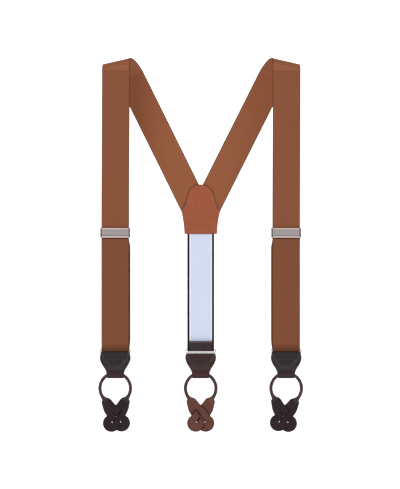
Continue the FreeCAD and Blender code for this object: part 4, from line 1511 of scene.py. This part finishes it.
class BuildStage(bpy.types.Operator):
    """Sets the pale floor, the soft studio lights and the camera"""

    bl_idname = "suspenders.stage"
    bl_label = "Stage"

    def execute(self, context):
        stage = settings_of(context, "stage")
        scene = context.scene
        glow = {"Emission Strength": 0.6, "Emission Color": (1, 1, 1, 1)}
        finish = Finish("pale_paper", {"Roughness": 0.9, **glow})
        fleck = finish.grain(3.0, 2.0)
        finish.end(Base_Color=finish.mix(fleck, (0.90, 0.90, 0.90), (0.94, 0.94, 0.94)))
        floor_z = cad_low.z - stage.floor_drop
        bend = (PAPER_BEND * math.pi / 2, PAPER_BEND)
        track = Track((PAPER_START, floor_z), 0, (PAPER_RUN, 0), bend, (PAPER_RISE, 0))
        wall = track.length - PAPER_RISE
        points, faces = [], []
        marks = steps(0, PAPER_RUN, 0.6) + steps(PAPER_RUN, wall, 0.06)[1:]
        marks += steps(wall, track.length, 0.6)[1:]
        for distance in marks:
            point, _ = track.at(distance)
            points += [(side * PAPER_HALF, point.x, point.y) for side in (-1, 1)]
        for i in range(len(marks) - 1):
            faces.append((2 * i, 2 * i + 1, 2 * i + 3, 2 * i + 2))
        mesh = bpy.data.meshes.new("paper_sweep")
        mesh.from_pydata(points, [], faces)
        for polygon in mesh.polygons:
            polygon.use_smooth = True
        mesh.materials.append(finish.material)
        paper = bpy.data.objects.new("paper_sweep", mesh)
        scene.collection.objects.link(paper)

        for name, spot, size, power in LIGHTS:
            lamp = bpy.data.lights.new(name, "AREA")
            lamp.energy = power
            lamp.size = size
            light = bpy.data.objects.new(name, lamp)
            light.location = spot
            aim = Vector((0, 0, stage.camera_z)) - Vector(spot)
            light.rotation_euler = aim.to_track_quat("-Z", "Y").to_euler()
            scene.collection.objects.link(light)

        world = bpy.data.worlds.new("studio")
        world.use_nodes = True
        sky = world.node_tree.nodes["Background"].inputs
        sky["Color"].default_value = (1, 1, 1, 1)
        sky["Strength"].default_value = WORLD_STRENGTH
        scene.world = world

        lens = bpy.data.cameras.new("studio_camera")
        lens.sensor_fit = "VERTICAL"
        lens.type = "ORTHO"
        lens.ortho_scale = stage.view_height
        camera = bpy.data.objects.new("studio_camera", lens)
        camera.location = (stage.camera_x, -stage.camera_distance, stage.camera_z)
        camera.rotation_euler = (math.pi / 2, 0, 0)
        scene.collection.objects.link(camera)
        scene.camera = camera
        scene.view_settings.view_transform = "Standard"
        return {"FINISHED"}


# ---------------------------------------------------------------- panel and registration

OPERATORS = (
    BuildStage,
    BuildShoulderStraps,
    BuildLowerStraps,
    BuildElastic,
    BuildYoke,
    BuildLeatherEnds,
    BuildTabs,
    BuildCords,
    FinishMetal,
)


class SuspendersPanel(bpy.types.Panel):
    """Lists the settings and the operators of the suspenders"""

    bl_idname = "VIEW3D_PT_suspenders"
    bl_label = "Suspenders"
    bl_space_type = "VIEW_3D"
    bl_region_type = "UI"
    bl_category = "Suspenders"

    def draw(self, context):
        for operator in OPERATORS:
            self.layout.operator(operator.bl_idname)
        for key in SETTINGS:
            group = getattr(context.scene, key)
            box = self.layout.box()
            for name in group.bl_rna.properties.keys():
                if name not in ("rna_type", "name"):
                    box.prop(group, name)


CLASSES = (*SETTINGS.values(), *OPERATORS, SuspendersPanel)


def register():
    for item in CLASSES:
        bpy.utils.register_class(item)
    for key, group in SETTINGS.items():
        setattr(bpy.types.Scene, key, PointerProperty(type=group))


def unregister():
    for key in SETTINGS:
        delattr(bpy.types.Scene, key)
    for item in reversed(CLASSES):
        bpy.utils.unregister_class(item)


def main():
    register()
    for operator in OPERATORS:
        group, name = operator.bl_idname.split(".")
        getattr(getattr(bpy.ops, group), name)()


if __name__ == "__main__":
    main()
